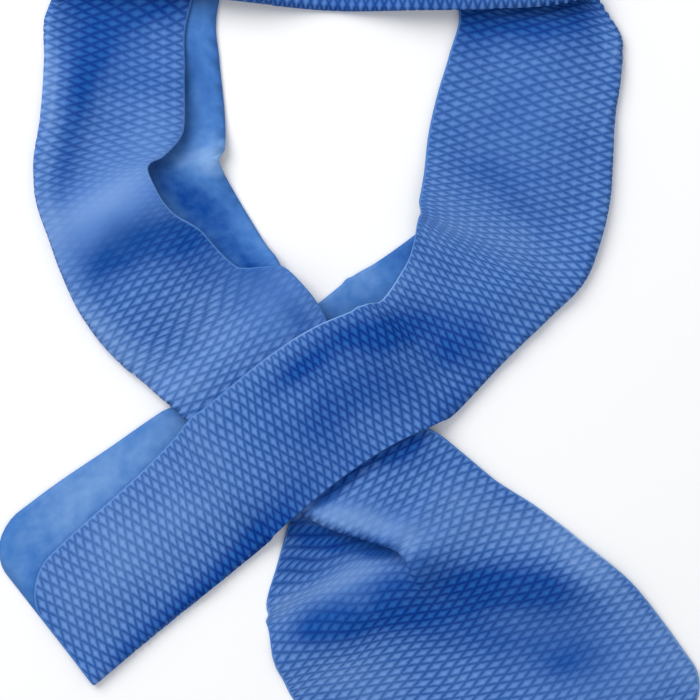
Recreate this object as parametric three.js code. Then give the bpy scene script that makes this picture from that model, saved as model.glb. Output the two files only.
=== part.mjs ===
import * as THREE from 'three';

// Cooling neck wrap: one long strip of soft sponge cloth, folded in two along its length with
// the embossed face outside. It lies on a table in a loop, and one tail passes through a slit
// that is cut along the fold. The strip is one piece, so it is one solid.
// Millimetres, +Z up. The origin is the middle of the bounding box, on the table.

// Driving sizes
const band_width = 132;
const cloth_thickness = 1.3;
const layer_gap = 0.6;
const lay_span = 280;
const end_corner_radius = 18;
const flip_height = 13;

// How finely the cloth is divided
const row_step = 10.5;
const fine_row_step = 5;

const half_width = band_width / 2;
const floor_level = cloth_thickness / 2;
const layer_pitch = cloth_thickness + layer_gap;

// Lengths over which one form passes into the next
const slit_ramp = 5 * cloth_thickness;
const swell_fade = 0.15 * band_width;
const end_trim_reach = 3 * end_corner_radius;
const slant_reach = 0.9 * band_width;
const lap_reach = 0.25 * half_width;

// A length or radius that counts as nothing
const tiny = 1e-6;

// The route of the fold, from the lower left tail round the neck to the lower right tail.
// x and y are shares of lay_span from the middle of the lay, the turns are degrees in plan.
// front is the layer that shows, back is the layer under it, and open is what comes out
// from under the back layer where the tail opens. Their reaches are shares of half_width.
const route_columns = [
  'place', 'x', 'y', 'front_turn', 'front', 'back_turn', 'back', 'open_turn', 'open',
];
const route_rows = [
  ['tail end', -0.367, -0.478, 127.6, 0.76, 128, 1.10, 123, 0],
  ['tail', -0.286, -0.410, 125.5, 0.785, 125.5, 1.085, 123, 0],
  ['tail', -0.207, -0.346, 122.8, 0.81, 123.6, 1.05, 123, 0],
  ['tail', -0.137, -0.289, 123.2, 0.85, 123.6, 1.02, 123, 0],
  ['slit start', -0.117, -0.272, 123.8, 0.87, 123.5, 0.99, 123, 0],
  ['slit', -0.063, -0.224, 122.8, 0.86, 122.8, 0.96, 123, 0],
  ['slit', 0.000, -0.174, 123.4, 0.86, 123.5, 0.95, 123, 0],
  ['slit', 0.063, -0.134, 125.6, 0.86, 124.8, 0.96, 124, 0],
  ['slit end', 0.141, -0.095, 127.5, 0.85, 124.2, 1.03, 124, 0],
  ['elbow', 0.170, -0.067, 132, 0.79, 125, 0.99, 125, 0],
  ['elbow', 0.220, -0.014, 136, 0.83, 127, 0.93, 127, 0],
  ['elbow', 0.279, 0.043, 143, 0.975, 137, 0.89, 137, 0],
  ['elbow', 0.334, 0.100, 158, 1.07, 152, 0.84, 152, 0],
  ['right limb', 0.356, 0.157, 167, 1.12, 165, 0.81, 165, 0],
  ['right limb', 0.369, 0.214, 172, 1.13, 172, 0.79, 172, 0],
  ['right limb', 0.373, 0.271, 174, 1.12, 174, 0.79, 174, 0],
  ['right limb', 0.376, 0.329, 173, 1.08, 173, 0.82, 173, 0],
  ['right limb', 0.384, 0.386, 172, 1.04, 172, 0.86, 172, 0],
  ['right limb', 0.386, 0.443, 171, 0.99, 171, 0.91, 171, 0],
  ['right corner', 0.359, 0.504, 175, 0.97, 175, 0.93, 175, 0],
  ['nape', 0.303, 0.493, 94, 0.96, 94, 0.95, 94, 0],
  ['nape', 0.214, 0.486, 92, 0.95, 92, 0.97, 92, 0],
  ['nape', 0.114, 0.484, 90.5, 0.93, 90.5, 0.98, 90.5, 0],
  ['nape middle', -0.029, 0.486, 88, 0.91, 88, 1.00, 88, 0],
  ['nape', -0.169, 0.498, 86, 0.90, 86, 1.02, 86, 0],
  ['nape', -0.257, 0.511, 85, 0.88, 85, 1.04, 85, 0],
  ['nape', -0.343, 0.517, 84.5, 0.87, 84.5, 1.04, 84.5, 0],
  ['left corner', -0.421, 0.517, 1, 0.85, 1, 1.01, 1, 0],
  ['left limb', -0.434, 0.471, -4, 0.85, -1, 1.03, 0, 0],
  ['left limb', -0.434, 0.414, -5, 0.85, 0, 1.05, 0, 0],
  ['left limb', -0.440, 0.329, -4, 0.87, 0.6, 1.11, 0, 0],
  ['left limb', -0.449, 0.271, 0.9, 0.78, 3, 1.15, 3, 0],
  ['left limb', -0.449, 0.243, 7.5, 0.71, 6, 1.12, 6, 0],
  ['left limb', -0.446, 0.214, 15, 0.70, 8.6, 1.14, 9, 0],
  ['left limb', -0.427, 0.157, 23.5, 0.715, 12.7, 1.16, 13, 0],
  ['left limb', -0.406, 0.100, 32, 0.77, 16, 1.19, 16, 0],
  ['left limb', -0.377, 0.043, 36, 0.89, 20, 1.20, 20, 0],
  ['left limb', -0.331, -0.014, 38.5, 0.915, 28.5, 1.14, 27, 0],
  ['crossing', -0.291, -0.047, 39, 1.10, 33, 1.08, 30, 0],
  ['crossing', -0.254, -0.079, 39.6, 1.08, 34.9, 1.00, 34, 0],
  ['crossing', -0.166, -0.157, 41, 0.93, 34, 0.82, 33, 0.20],
  ['through slit', -0.071, -0.230, 44, 0.85, 31, 0.56, 31.7, 0.725],
  ['pleat', -0.023, -0.255, 44.7, 0.845, 28, 0.33, 31.5, 0.91],
  ['pleat', 0.024, -0.270, 42.8, 0.78, 26, 0.21, 33.2, 1.11],
  ['pleat end', 0.068, -0.286, 38.8, 0.72, 22, 0.02, 29.5, 1.025],
  ['open tail', 0.109, -0.343, 35, 0.85, 26, 0, 30.3, 1.03],
  ['open tail', 0.146, -0.383, 33.5, 0.90, 28.6, 0, 27.4, 1.08],
  ['open tail', 0.214, -0.446, 32, 0.93, 28.4, 0, 28.4, 1.12],
  ['open tail', 0.261, -0.500, 32.2, 0.92, 28, 0, 28, 1.12],
  ['open tail', 0.303, -0.554, 31.8, 0.91, 28, 0, 28, 1.10],
  ['open tail end', 0.345, -0.607, 31.8, 0.90, 28, 0, 28, 1.07],
];

// How high the layers lie at rows of the route, counted in layers above the table.
// base is the lowest layer, roll and lap are the radii of the fold and of the hidden lap,
// far is the front layer's free edge, over is 1 where the cloth doubles back and 0 where it
// lies open, shoulder is how far the fold's height reaches, as a share of half_width, and
// lift is how much a row of the nape sinks from the flipped corners to the table.
const height_columns = ['row', 'base', 'roll', 'lap', 'far', 'over', 'shoulder', 'lift'];
const height_rows = [
  [0, 0, 0.80, 0, 1.0, 1, 0.30, 0],
  [2, 0, 0.85, 0, 1.1, 1, 0.30, 0],
  [3, 0, 1.00, 0, 3.2, 1, 0.40, 0],
  [4, 0, 1.45, 0, 4.8, 1, 0.38, 0],
  [5, 0, 2.40, 0, 4.7, 1, 0.80, 0],
  [6, 0, 2.70, 0, 4.4, 1, 0.90, 0],
  [7, 0, 2.50, 0, 4.2, 1, 0.90, 0],
  [8, 0, 1.35, 0, 4.1, 1, 0.60, 0],
  [9, 0, 1.05, 0, 2.0, 1, 0.45, 0],
  [10, 0, 1.05, 0, 1.0, 1, 0.35, 0],
  [13, 0, 1.15, 0, 1.0, 1, 0.35, 0],
  [18, 0, 0.95, 0, 1.0, 1, 0.25, 0],
  [21, 0, 0.85, 0, 1.0, 1, 0.25, 0],
  [22, 0, 0.85, 0, 1.0, 1, 0.25, 0],
  [23, 0, 0.85, 0, 1.0, 1, 0.25, 1],
  [24, 0, 0.85, 0, 1.0, 1, 0.25, 0],
  [28, 0, 0.95, 0, 1.0, 1, 0.25, 0],
  [30, 0, 1.50, 0, 1.8, 1, 0.40, 0],
  [34, 0, 1.60, 0, 1.8, 1, 0.40, 0],
  [37, 0, 1.20, 0, 1.3, 1, 0.40, 0],
  [38, 0.4, 0.85, 0, 1.5, 1, 0.40, 0],
  [39, 0.7, 0.72, 0.58, 2.7, 1, 0.30, 0],
  [40, 1, 0.66, 0.62, 3.3, 1, 0.30, 0],
  [41, 1, 0.66, 0.58, 3.4, 1, 0.50, 0],
  [42, 0, 1.50, 0.75, 2.3, 1, 0.90, 0],
  [43, 0, 1.55, 0.75, 1.0, 1, 0.90, 0],
  [44, 0, 1.30, 0.85, 0.5, 0.80, 0.90, 0],
  [45, 0, 1.60, 1.60, 0.3, 0.22, 0.90, 0],
  [46, 0, 1.60, 1.60, 0.2, 0.05, 0.90, 0],
  [50, 0, 1.60, 1.60, 0, 0.02, 0.90, 0],
];

// The two corners where the band flips over towards the front. x and y are shares of
// lay_span on the crease, turn is the way along it, and side is the way round it.
const flip_columns = ['place', 'x', 'y', 'turn', 'side'];
const flip_rows = [
  ['right corner', 0.340, 0.488, 136, -1],
  ['left corner', -0.404, 0.499, 43, 1],
];

// Soft swells of one layer, on stretches of the route given by its rows. x and y are shares
// of lay_span, turn is the way along the swell, and long, wide and rise are shares of
// band_width.
const swell_columns = ['layer', 'from', 'to', 'x', 'y', 'turn', 'long', 'wide', 'rise'];
const swell_rows = [
  ['front', 29, 38, -0.350, 0.180, 28, 0.38, 0.12, 0.060],
  ['front', 28, 38, -0.406, 0.371, 78, 0.33, 0.085, 0.024],
  ['front', 28, 38, -0.260, 0.380, 92, 0.42, 0.10, 0.025],
  ['front', 33, 39, -0.330, 0.045, 40, 0.32, 0.14, 0.030],
  ['back', 29, 38, -0.185, 0.275, 22, 0.10, 0.07, 0.030],
  ['both', 35, 41, -0.085, 0.095, 130, 0.16, 0.09, 0.030],
  ['front', 10, 19, 0.150, 0.170, 140, 0.50, 0.12, 0.030],
  ['front', 13, 19, 0.300, 0.330, 95, 0.50, 0.14, 0.025],
  ['front', 0, 4, -0.307, -0.314, 39, 0.42, 0.14, 0.016],
  ['front', 4, 10, -0.010, -0.050, 60, 0.45, 0.14, 0.020],
  ['front', 8, 12, 0.200, 0.030, 45, 0.40, 0.10, 0.020],
  ['both', 44, 51, -0.010, -0.330, 30, 0.34, 0.16, 0.045],
  ['both', 43, 51, 0.229, -0.317, -9, 0.40, 0.115, 0.038],
  ['both', 45, 51, 0.210, -0.560, 20, 0.60, 0.18, 0.030],
];

// Where the columns of the mesh lie across a layer, as shares from the fold to the free edge
const front_shares = [0.02, 0.045, 0.12, 0.26, 0.40, 0.54, 0.68, 0.82, 0.94, 1];
const back_shares = [0.02, 0.045, 0.12, 0.22, 0.32, 0.42, 0.52, 0.62, 0.72, 0.82, 0.93, 1];
const lap_shares = [0.42, 0.62];

// The longest last step before a mark, as a share of a usual step
const longest_last_step = 1.5;

function named_rows(columns, rows) {
  return rows.map((row) => Object.fromEntries(columns.map((name, i) => [name, row[i]])));
}

const route = named_rows(route_columns, route_rows);
const heights = named_rows(height_columns, height_rows);
const flips = named_rows(flip_columns, flip_rows);
const swells = named_rows(swell_columns, swell_rows);

const row_of = (place) => route.findIndex((row) => row.place === place);
const slit_start = row_of('slit start');
const slit_end = row_of('slit end');
const right_corner = row_of('right corner');
const nape_middle = row_of('nape middle');
const left_corner = row_of('left corner');
const tail_end = route.length - 1;

// The flip rolls the band about a level axis over the crease
const flip_axis = flip_height / 2;
const flip_roll = flip_axis - floor_level - layer_pitch / 2;

for (const flip of flips) {
  const turn = THREE.MathUtils.degToRad(flip.turn);
  flip.point = new THREE.Vector2(flip.x, flip.y).multiplyScalar(lay_span);
  flip.beyond = new THREE.Vector2(-Math.sin(turn), Math.cos(turn)).multiplyScalar(flip.side);
}

function past_crease(flip, x, y) {
  return (x - flip.point.x) * flip.beyond.x + (y - flip.point.y) * flip.beyond.y;
}

// The flat place that a flipped row has before the band is rolled over the crease
function unflipped(row, flip) {
  const depth = past_crease(flip, row.x, row.y) - (Math.PI * flip_roll) / 2;
  return {
    ...row,
    x: row.x - 2 * depth * flip.beyond.x,
    y: row.y - 2 * depth * flip.beyond.y,
    front_turn: 2 * flip.turn - row.front_turn,
    back_turn: 2 * flip.turn - row.back_turn,
    open_turn: 2 * flip.turn - row.open_turn,
  };
}

const laid = route.map((row) => ({
  ...row,
  x: row.x * lay_span,
  y: row.y * lay_span,
  front: row.front * half_width,
  back: row.back * half_width,
  open: row.open * half_width,
}));
const right_run = laid.map((row, i) => (i > right_corner ? unflipped(row, flips[0]) : row));
const left_run = laid.map((row, i) => (i < left_corner ? unflipped(row, flips[1]) : row));

// Length along the fold at each row
const along = [0];
for (let i = 1; i < route.length; i += 1) {
  const run = i <= nape_middle ? right_run : left_run;
  along.push(along[i - 1] + Math.hypot(run[i].x - run[i - 1].x, run[i].y - run[i - 1].y));
}
const band_length = along[tail_end];

// A smooth curve through values at stations; a held one never passes its values
function smooth_value(stations, values, s, held) {
  let i = 0;
  while (i < stations.length - 2 && s > stations[i + 1]) i += 1;
  const slope_at = (k) => {
    const before = k > 0 ? (values[k] - values[k - 1]) / (stations[k] - stations[k - 1]) : null;
    const after = k < values.length - 1
      ? (values[k + 1] - values[k]) / (stations[k + 1] - stations[k]) : null;
    if (before === null || after === null) return held ? 0 : before ?? after;
    if (!held) return (before + after) / 2;
    return before * after <= 0 ? 0 : (2 * before * after) / (before + after);
  };
  const step = stations[i + 1] - stations[i];
  const f = THREE.MathUtils.clamp((s - stations[i]) / step, 0, 1);
  const g = 1 - f;
  return values[i] * g * g * (1 + 2 * f) + values[i + 1] * f * f * (1 + 2 * g)
    + step * f * g * (g * slope_at(i) - f * slope_at(i + 1));
}

const smooth_step = (value) => {
  const f = THREE.MathUtils.clamp(value, 0, 1);
  return f * f * (3 - 2 * f);
};

const height_stations = heights.map((row) => along[row.row]);
const place_names = ['x', 'y', 'front_turn', 'back_turn', 'open_turn'];
const reach_names = ['front', 'back', 'open'];
const height_names = ['base', 'roll', 'lap', 'far', 'over', 'shoulder', 'lift'];

// Everything that is known of the band at length s along its fold
function section_at(s) {
  const run = s <= along[nape_middle] ? right_run : left_run;
  const section = { s };
  for (const name of place_names) {
    section[name] = smooth_value(along, run.map((row) => row[name]), s, false);
  }
  for (const name of reach_names) {
    section[name] = smooth_value(along, run.map((row) => row[name]), s, true);
  }
  for (const name of height_names) {
    section[name] = smooth_value(height_stations, heights.map((row) => row[name]), s, true);
  }
  section.turn_over = Math.PI * section.over;
  section.roll *= layer_pitch;
  section.lap *= layer_pitch;
  const inside_slit = Math.min(s - along[slit_start], along[slit_end] - s);
  section.cut = smooth_step(inside_slit / slit_ramp);
  const bend = (section.turn_over / 2 - Math.sin(section.turn_over / 2)) * section.roll;
  section.front_cloth = section.front + bend * (1 - section.cut);
  section.back_cloth = section.back + section.open + bend * (1 - section.cut);
  section.scale = band_width / (section.front_cloth + section.back_cloth);
  section.fold = half_width - section.front_cloth * section.scale;
  return section;
}

const direction = (turn) => {
  const angle = THREE.MathUtils.degToRad(turn);
  return new THREE.Vector2(Math.cos(angle), Math.sin(angle));
};

function swell_height(layer, section, x, y) {
  let rise = 0;
  for (const swell of swells) {
    const from = along[swell.from];
    const to = along[swell.to] ?? Infinity;
    const inside = section.s >= from && section.s <= to;
    if ((swell.layer !== layer && swell.layer !== 'both') || !inside) continue;
    const way = direction(swell.turn);
    const dx = x - swell.x * lay_span;
    const dy = y - swell.y * lay_span;
    const a = (dx * way.x + dy * way.y) / (swell.long * band_width);
    const b = (dy * way.x - dx * way.y) / (swell.wide * band_width);
    const fade = smooth_step((section.s - from) / swell_fade)
      * smooth_step((to - section.s) / swell_fade);
    rise += swell.rise * band_width * fade * Math.exp(-a * a - b * b);
  }
  return rise;
}

// Heights of the hidden lap, the back layer and the front layer at the fold
function layer_heights(section) {
  const turn = 1 - Math.cos(section.turn_over);
  const base = floor_level + section.base * layer_pitch;
  const back = base + section.lap * turn + section.back * Math.sin(section.turn_over);
  return { base, back, near: back + section.roll * turn };
}

// A point of the front layer, at cloth distance u from the fold
function front_point(section, u) {
  const levels = layer_heights(section);
  const start = (section.turn_over / 2) * (1 - section.cut);
  const radius = section.roll;
  const angle = Math.max(start - u / Math.max(radius, tiny), 0);
  const reach = radius * (Math.sin(start) - Math.sin(angle)) + Math.max(u - start * radius, 0);
  const way = direction(section.front_turn);
  const x = section.x + way.x * reach;
  const y = section.y + way.y * reach;
  const far = floor_level + section.far * layer_pitch;
  const down = smooth_step(reach / (section.shoulder * half_width));
  const settled = levels.near + (far - levels.near) * down;
  const free = section.over < 1 - tiny ? 1 : down;
  const rise = swell_height('front', section, x, y) * free;
  return [x, y, settled - radius * (1 - Math.cos(angle)) + rise];
}

// A point of the back layer or of what opens out from under it, at cloth distance w
function back_point(section, w) {
  const levels = layer_heights(section);
  const half_turn = section.turn_over / 2;
  const start = half_turn + half_turn * section.cut;
  const arc = (section.turn_over - start) * section.roll;
  const hem = arc + section.back;
  const lap_arc = section.turn_over * section.lap;
  const way = direction(section.back_turn);
  const bend = Math.min(w, arc) / Math.max(section.roll, tiny) + start;
  let reach = -section.roll * (Math.sin(bend) - Math.sin(start));
  let z = levels.near - section.roll * (1 - Math.cos(bend));
  const straight = THREE.MathUtils.clamp(w - arc, 0, section.back);
  reach -= Math.cos(section.turn_over) * straight;
  z -= Math.sin(section.turn_over) * straight;
  let x = section.x + way.x * reach;
  let y = section.y + way.y * reach;
  const past = w - hem;
  if (past > 0 && section.open > 0) {
    const lap = Math.max(section.lap, tiny);
    const angle = Math.max(section.turn_over - past / lap, 0);
    const out = -lap * (Math.sin(section.turn_over) - Math.sin(angle));
    const half_out = -lap * (Math.sin(section.turn_over) - 1);
    const on_way = angle > Math.PI / 2 || section.turn_over < Math.PI / 2 ? out : half_out;
    const off_way = out - on_way - Math.max(past - lap_arc, 0);
    const open_way = direction(section.open_turn);
    x += way.x * on_way + open_way.x * off_way;
    y += way.y * on_way + open_way.y * off_way;
    z -= lap * (Math.cos(angle) - Math.cos(section.turn_over));
  }
  const free = section.over < 1 - tiny ? 1 : smooth_step(w / (section.shoulder * half_width));
  return [x, y, z + swell_height('back', section, x, y) * free];
}

// Rolls a point of the flat run over its crease, and sinks the nape to the table
function rolled(section, point) {
  const flip = section.s <= along[nape_middle] ? flips[0] : flips[1];
  const sink = 2 * (flip_axis - floor_level - section.roll);
  const height = point[2] + section.lift * sink;
  const depth = past_crease(flip, point[0], point[1]);
  if (depth <= 0) return new THREE.Vector3(point[0], point[1], height);
  const angle = Math.min(depth / flip_roll, Math.PI);
  const passed = Math.max(depth - Math.PI * flip_roll, 0);
  const offset = (flip_axis - height) * Math.sin(angle) - passed - depth;
  return new THREE.Vector3(
    point[0] + flip.beyond.x * offset,
    point[1] + flip.beyond.y * offset,
    flip_axis - (flip_axis - height) * Math.cos(angle),
  );
}

// The middle of the cloth at length s along the fold and cloth place t across the band.
// side is +1 or -1 where t is on the fold, because the slit parts the two layers there.
function cloth_point(s, t, side) {
  const outer = Math.max(Math.abs(t) - (half_width - end_corner_radius), 0);
  const trim = end_corner_radius - Math.sqrt(Math.max(end_corner_radius ** 2 - outer ** 2, 0));
  const from_end = Math.min(s, band_length - s);
  const shift = trim * Math.max(1 - from_end / end_trim_reach, 0);
  const section = section_at(s < band_length / 2 ? s + shift : s - shift);
  const across = (t - section.fold) / section.scale;
  const point = across > 0 || (across === 0 && side > 0)
    ? front_point(section, Math.abs(across)) : back_point(section, Math.abs(across));
  return rolled(section, point);
}

// How the rows of the mesh slant, so that they lie along the creases of the flipped corners
function slant_at(s) {
  const corners = [right_corner, left_corner];
  return corners.reduce((slant, corner, i) => {
    const turn = THREE.MathUtils.degToRad(laid[corner].front_turn - flips[i].turn);
    return slant + Math.tan(turn) * smooth_step(1 - Math.abs(s - along[corner]) / slant_reach);
  }, 0);
}

// Rows of the mesh, by their length along the fold; they are closer where the cloth bends
function mesh_rows() {
  const stations = [0];
  const within = (s, row, reach) => Math.abs(s - along[row]) < reach;
  const fine_reach = Math.PI * flip_roll + row_step / 2;
  const is_fine = (s) => within(s, right_corner, fine_reach) || within(s, left_corner, fine_reach)
    || within(s, slit_start, row_step) || within(s, slit_end, row_step)
    || (s > along[row_of('crossing')] && s < along[row_of('open tail')]);
  for (const mark of [along[slit_start], along[slit_end], band_length]) {
    while (stations.at(-1) < mark - tiny) {
      const s = stations.at(-1);
      const step = is_fine(s) ? fine_row_step : row_step;
      stations.push(mark - s < longest_last_step * step ? mark : s + step);
    }
  }
  return stations.map((s) => ({ s, slant: slant_at(s) }));
}

// Moves the columns of the back layer so that they follow the hidden lap
function followed_share(section, share) {
  const [lap_start, lap_end] = lap_shares;
  const quarter = (1 - section.cut) * (section.turn_over / 2) * section.roll;
  const hem = (quarter + section.back) / section.back_cloth;
  const out = hem + (section.turn_over * section.lap) / section.back_cloth;
  let followed = (share / lap_start) * hem;
  if (share > lap_end) followed = out + ((share - lap_end) / (1 - lap_end)) * (1 - out);
  else if (share > lap_start) {
    followed = hem + ((share - lap_start) / (lap_end - lap_start)) * (out - hem);
  }
  const follow = smooth_step(section.open / lap_reach) * smooth_step(2 * section.over);
  return share + (followed - share) * follow;
}

// Closed wall of the cloth: every place of the sheet has a point on the embossed face and
// one on the smooth face, and the rim and the slit are walled.
function cloth_geometry() {
  const rows = mesh_rows();
  const shares = [...back_shares.map((c) => -c).reverse(), 0, ...front_shares];
  const fold_column = back_shares.length;
  const in_slit = (s) => s > along[slit_start] + tiny && s < along[slit_end] - tiny;

  const places = [];
  const sheet = [];
  const add_place = (row, share, side) => {
    const section = section_at(row.s);
    const fold = section.fold;
    const t = share >= 0 ? fold + share * (half_width - fold)
      : fold - followed_share(section, -share) * (fold + half_width);
    const slanted = row.s + row.slant * Math.abs(t - fold);
    places.push(cloth_point(slanted, t, side));
    return places.length - 1;
  };
  for (const row of rows) {
    sheet.push(shares.map((share) => {
      const front = add_place(row, share, 1);
      const back = share === 0 && in_slit(row.s) ? add_place(row, share, -1) : front;
      return { front, back };
    }));
  }

  const faces = [];
  for (let i = 0; i < rows.length - 1; i += 1) {
    for (let j = 0; j < shares.length - 1; j += 1) {
      const pick = (entry) => (j < fold_column ? entry.back : entry.front);
      const a = pick(sheet[i][j]);
      const b = pick(sheet[i + 1][j]);
      const c = pick(sheet[i + 1][j + 1]);
      const d = pick(sheet[i][j + 1]);
      const short = places[a].distanceToSquared(places[c]) < places[b].distanceToSquared(places[d]);
      faces.push(...(short ? [[a, b, c], [a, c, d]] : [[a, b, d], [b, c, d]]));
    }
  }

  const normals = places.map(() => new THREE.Vector3());
  for (const [a, b, c] of faces) {
    const ab = places[b].clone().sub(places[a]);
    const ac = places[c].clone().sub(places[a]);
    const normal = ab.cross(ac);
    for (const k of [a, b, c]) normals[k].add(normal);
  }

  const positions = [];
  for (const side of [1, -1]) {
    places.forEach((place, k) => {
      const out = normals[k].clone().normalize().multiplyScalar((side * cloth_thickness) / 2);
      positions.push(...place.clone().add(out).toArray());
    });
  }

  // Edges that only one face has are the rim, and each gets a wall
  const edge_use = new Map();
  for (const [a, b, c] of faces) {
    for (const [p, q] of [[a, b], [b, c], [c, a]]) edge_use.set(`${p},${q}`, [p, q]);
  }
  const index = [];
  const count = places.length;
  for (const [a, b, c] of faces) index.push(a, b, c, count + a, count + c, count + b);
  for (const [p, q] of edge_use.values()) {
    if (!edge_use.has(`${q},${p}`)) index.push(p, count + p, count + q, p, count + q, q);
  }

  const geometry = new THREE.BufferGeometry();
  geometry.setAttribute('position', new THREE.Float32BufferAttribute(positions, 3));
  geometry.setIndex(index);
  return geometry;
}

// Puts the origin in the middle of the bounding box, on the table
function centred_on_table(geometry) {
  geometry.computeBoundingBox();
  const { min, max } = geometry.boundingBox;
  geometry.translate(-(min.x + max.x) / 2, -(min.y + max.y) / 2, -min.z);
  geometry.computeVertexNormals();
  return geometry;
}

const sponge_cloth = new THREE.MeshStandardMaterial({
  color: 0x2f6ac4,
  roughness: 0.75,
  metalness: 0,
});

const neck_wrap = new THREE.Mesh(centred_on_table(cloth_geometry()), sponge_cloth);
neck_wrap.name = 'neck_wrap_band';

const group = new THREE.Group();
group.add(neck_wrap);

export default group;
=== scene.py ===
# %% [markdown]
# # A cooling neck wrap
#
# This lesson makes one strip of blue sponge cloth, folded in two along its length and laid on a
# table in a loop. One tail passes through a slit in the fold and opens out. The real wrap is one
# piece of cloth, so the model is one mesh: an embossed face, a smooth face and a cut edge.
#
# The imported model is loaded first. It fixes where the wrap lies.

import bmesh
import bpy
import numpy as np
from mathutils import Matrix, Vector
from mathutils.geometry import delaunay_2d_cdt


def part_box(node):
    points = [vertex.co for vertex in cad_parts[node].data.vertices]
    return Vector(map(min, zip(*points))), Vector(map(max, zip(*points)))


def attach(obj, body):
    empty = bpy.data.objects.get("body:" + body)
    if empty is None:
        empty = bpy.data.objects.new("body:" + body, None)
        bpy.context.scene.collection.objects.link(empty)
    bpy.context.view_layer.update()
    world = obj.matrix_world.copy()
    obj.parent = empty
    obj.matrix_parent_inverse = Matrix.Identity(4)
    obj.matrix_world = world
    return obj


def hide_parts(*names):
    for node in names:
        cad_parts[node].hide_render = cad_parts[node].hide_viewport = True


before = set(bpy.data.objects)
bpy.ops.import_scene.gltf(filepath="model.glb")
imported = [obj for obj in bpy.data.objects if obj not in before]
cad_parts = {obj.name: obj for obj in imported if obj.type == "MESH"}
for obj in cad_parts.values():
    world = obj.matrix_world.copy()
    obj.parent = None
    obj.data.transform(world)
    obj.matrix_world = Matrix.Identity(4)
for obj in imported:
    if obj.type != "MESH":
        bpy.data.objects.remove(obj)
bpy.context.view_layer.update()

NODE = "neck_wrap_band"
node_low, node_high = (np.array(corner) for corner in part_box(NODE))
print("nodes:", list(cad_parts), "box in mm:", np.round((node_high - node_low) * 1000, 1))

# %% [markdown]
# ## The sizes of the cloth
#
# Sponge cloth for neck wraps is a little over a millimetre thick and is cut about 130 mm wide.
# It is embossed with a lattice of diamonds, which are longer across the strip than along it.
# Every other size of the wrap is written as a share of these.

# %% Driving sizes, in metres
BAND_WIDTH = 0.132
THICKNESS = 0.0013
LAYER_GAP = 0.0006
LAY_SPAN = 0.280
CORNER_RADIUS = 0.018
FLIP_HEIGHT = 0.013

DIAMOND_ACROSS = 0.0088
DIAMOND_ALONG = 0.0037
GROOVE_SHARE = 0.15
RELIEF_DEPTH = 0.00030
RIM_WIDTH = 0.0008

HALF_WIDTH = BAND_WIDTH / 2
FLOOR_LEVEL = THICKNESS / 2
LAYER_PITCH = THICKNESS + LAYER_GAP
SLIT_RAMP = 5 * THICKNESS
SWELL_FADE = 0.15 * BAND_WIDTH
SLANT_REACH = 0.9 * BAND_WIDTH
TINY = 1e-9
print("layers lie", round(LAYER_PITCH * 1000, 2), "mm apart")

# %% [markdown]
# ## The route of the fold
#
# A folded strip is described best by its folded edge, because the two layers hang on it like the
# pages of an open book. The table follows that edge from the lower left tail, round the neck, to
# the lower right tail. x and y are shares of LAY_SPAN from the middle of the lay. The turns are
# the directions that the layers reach in, in degrees, and the reaches are shares of HALF_WIDTH.
# front is the layer on top, back is the one under it, and open is what comes out from under the
# back layer where the tail opens.

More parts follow.
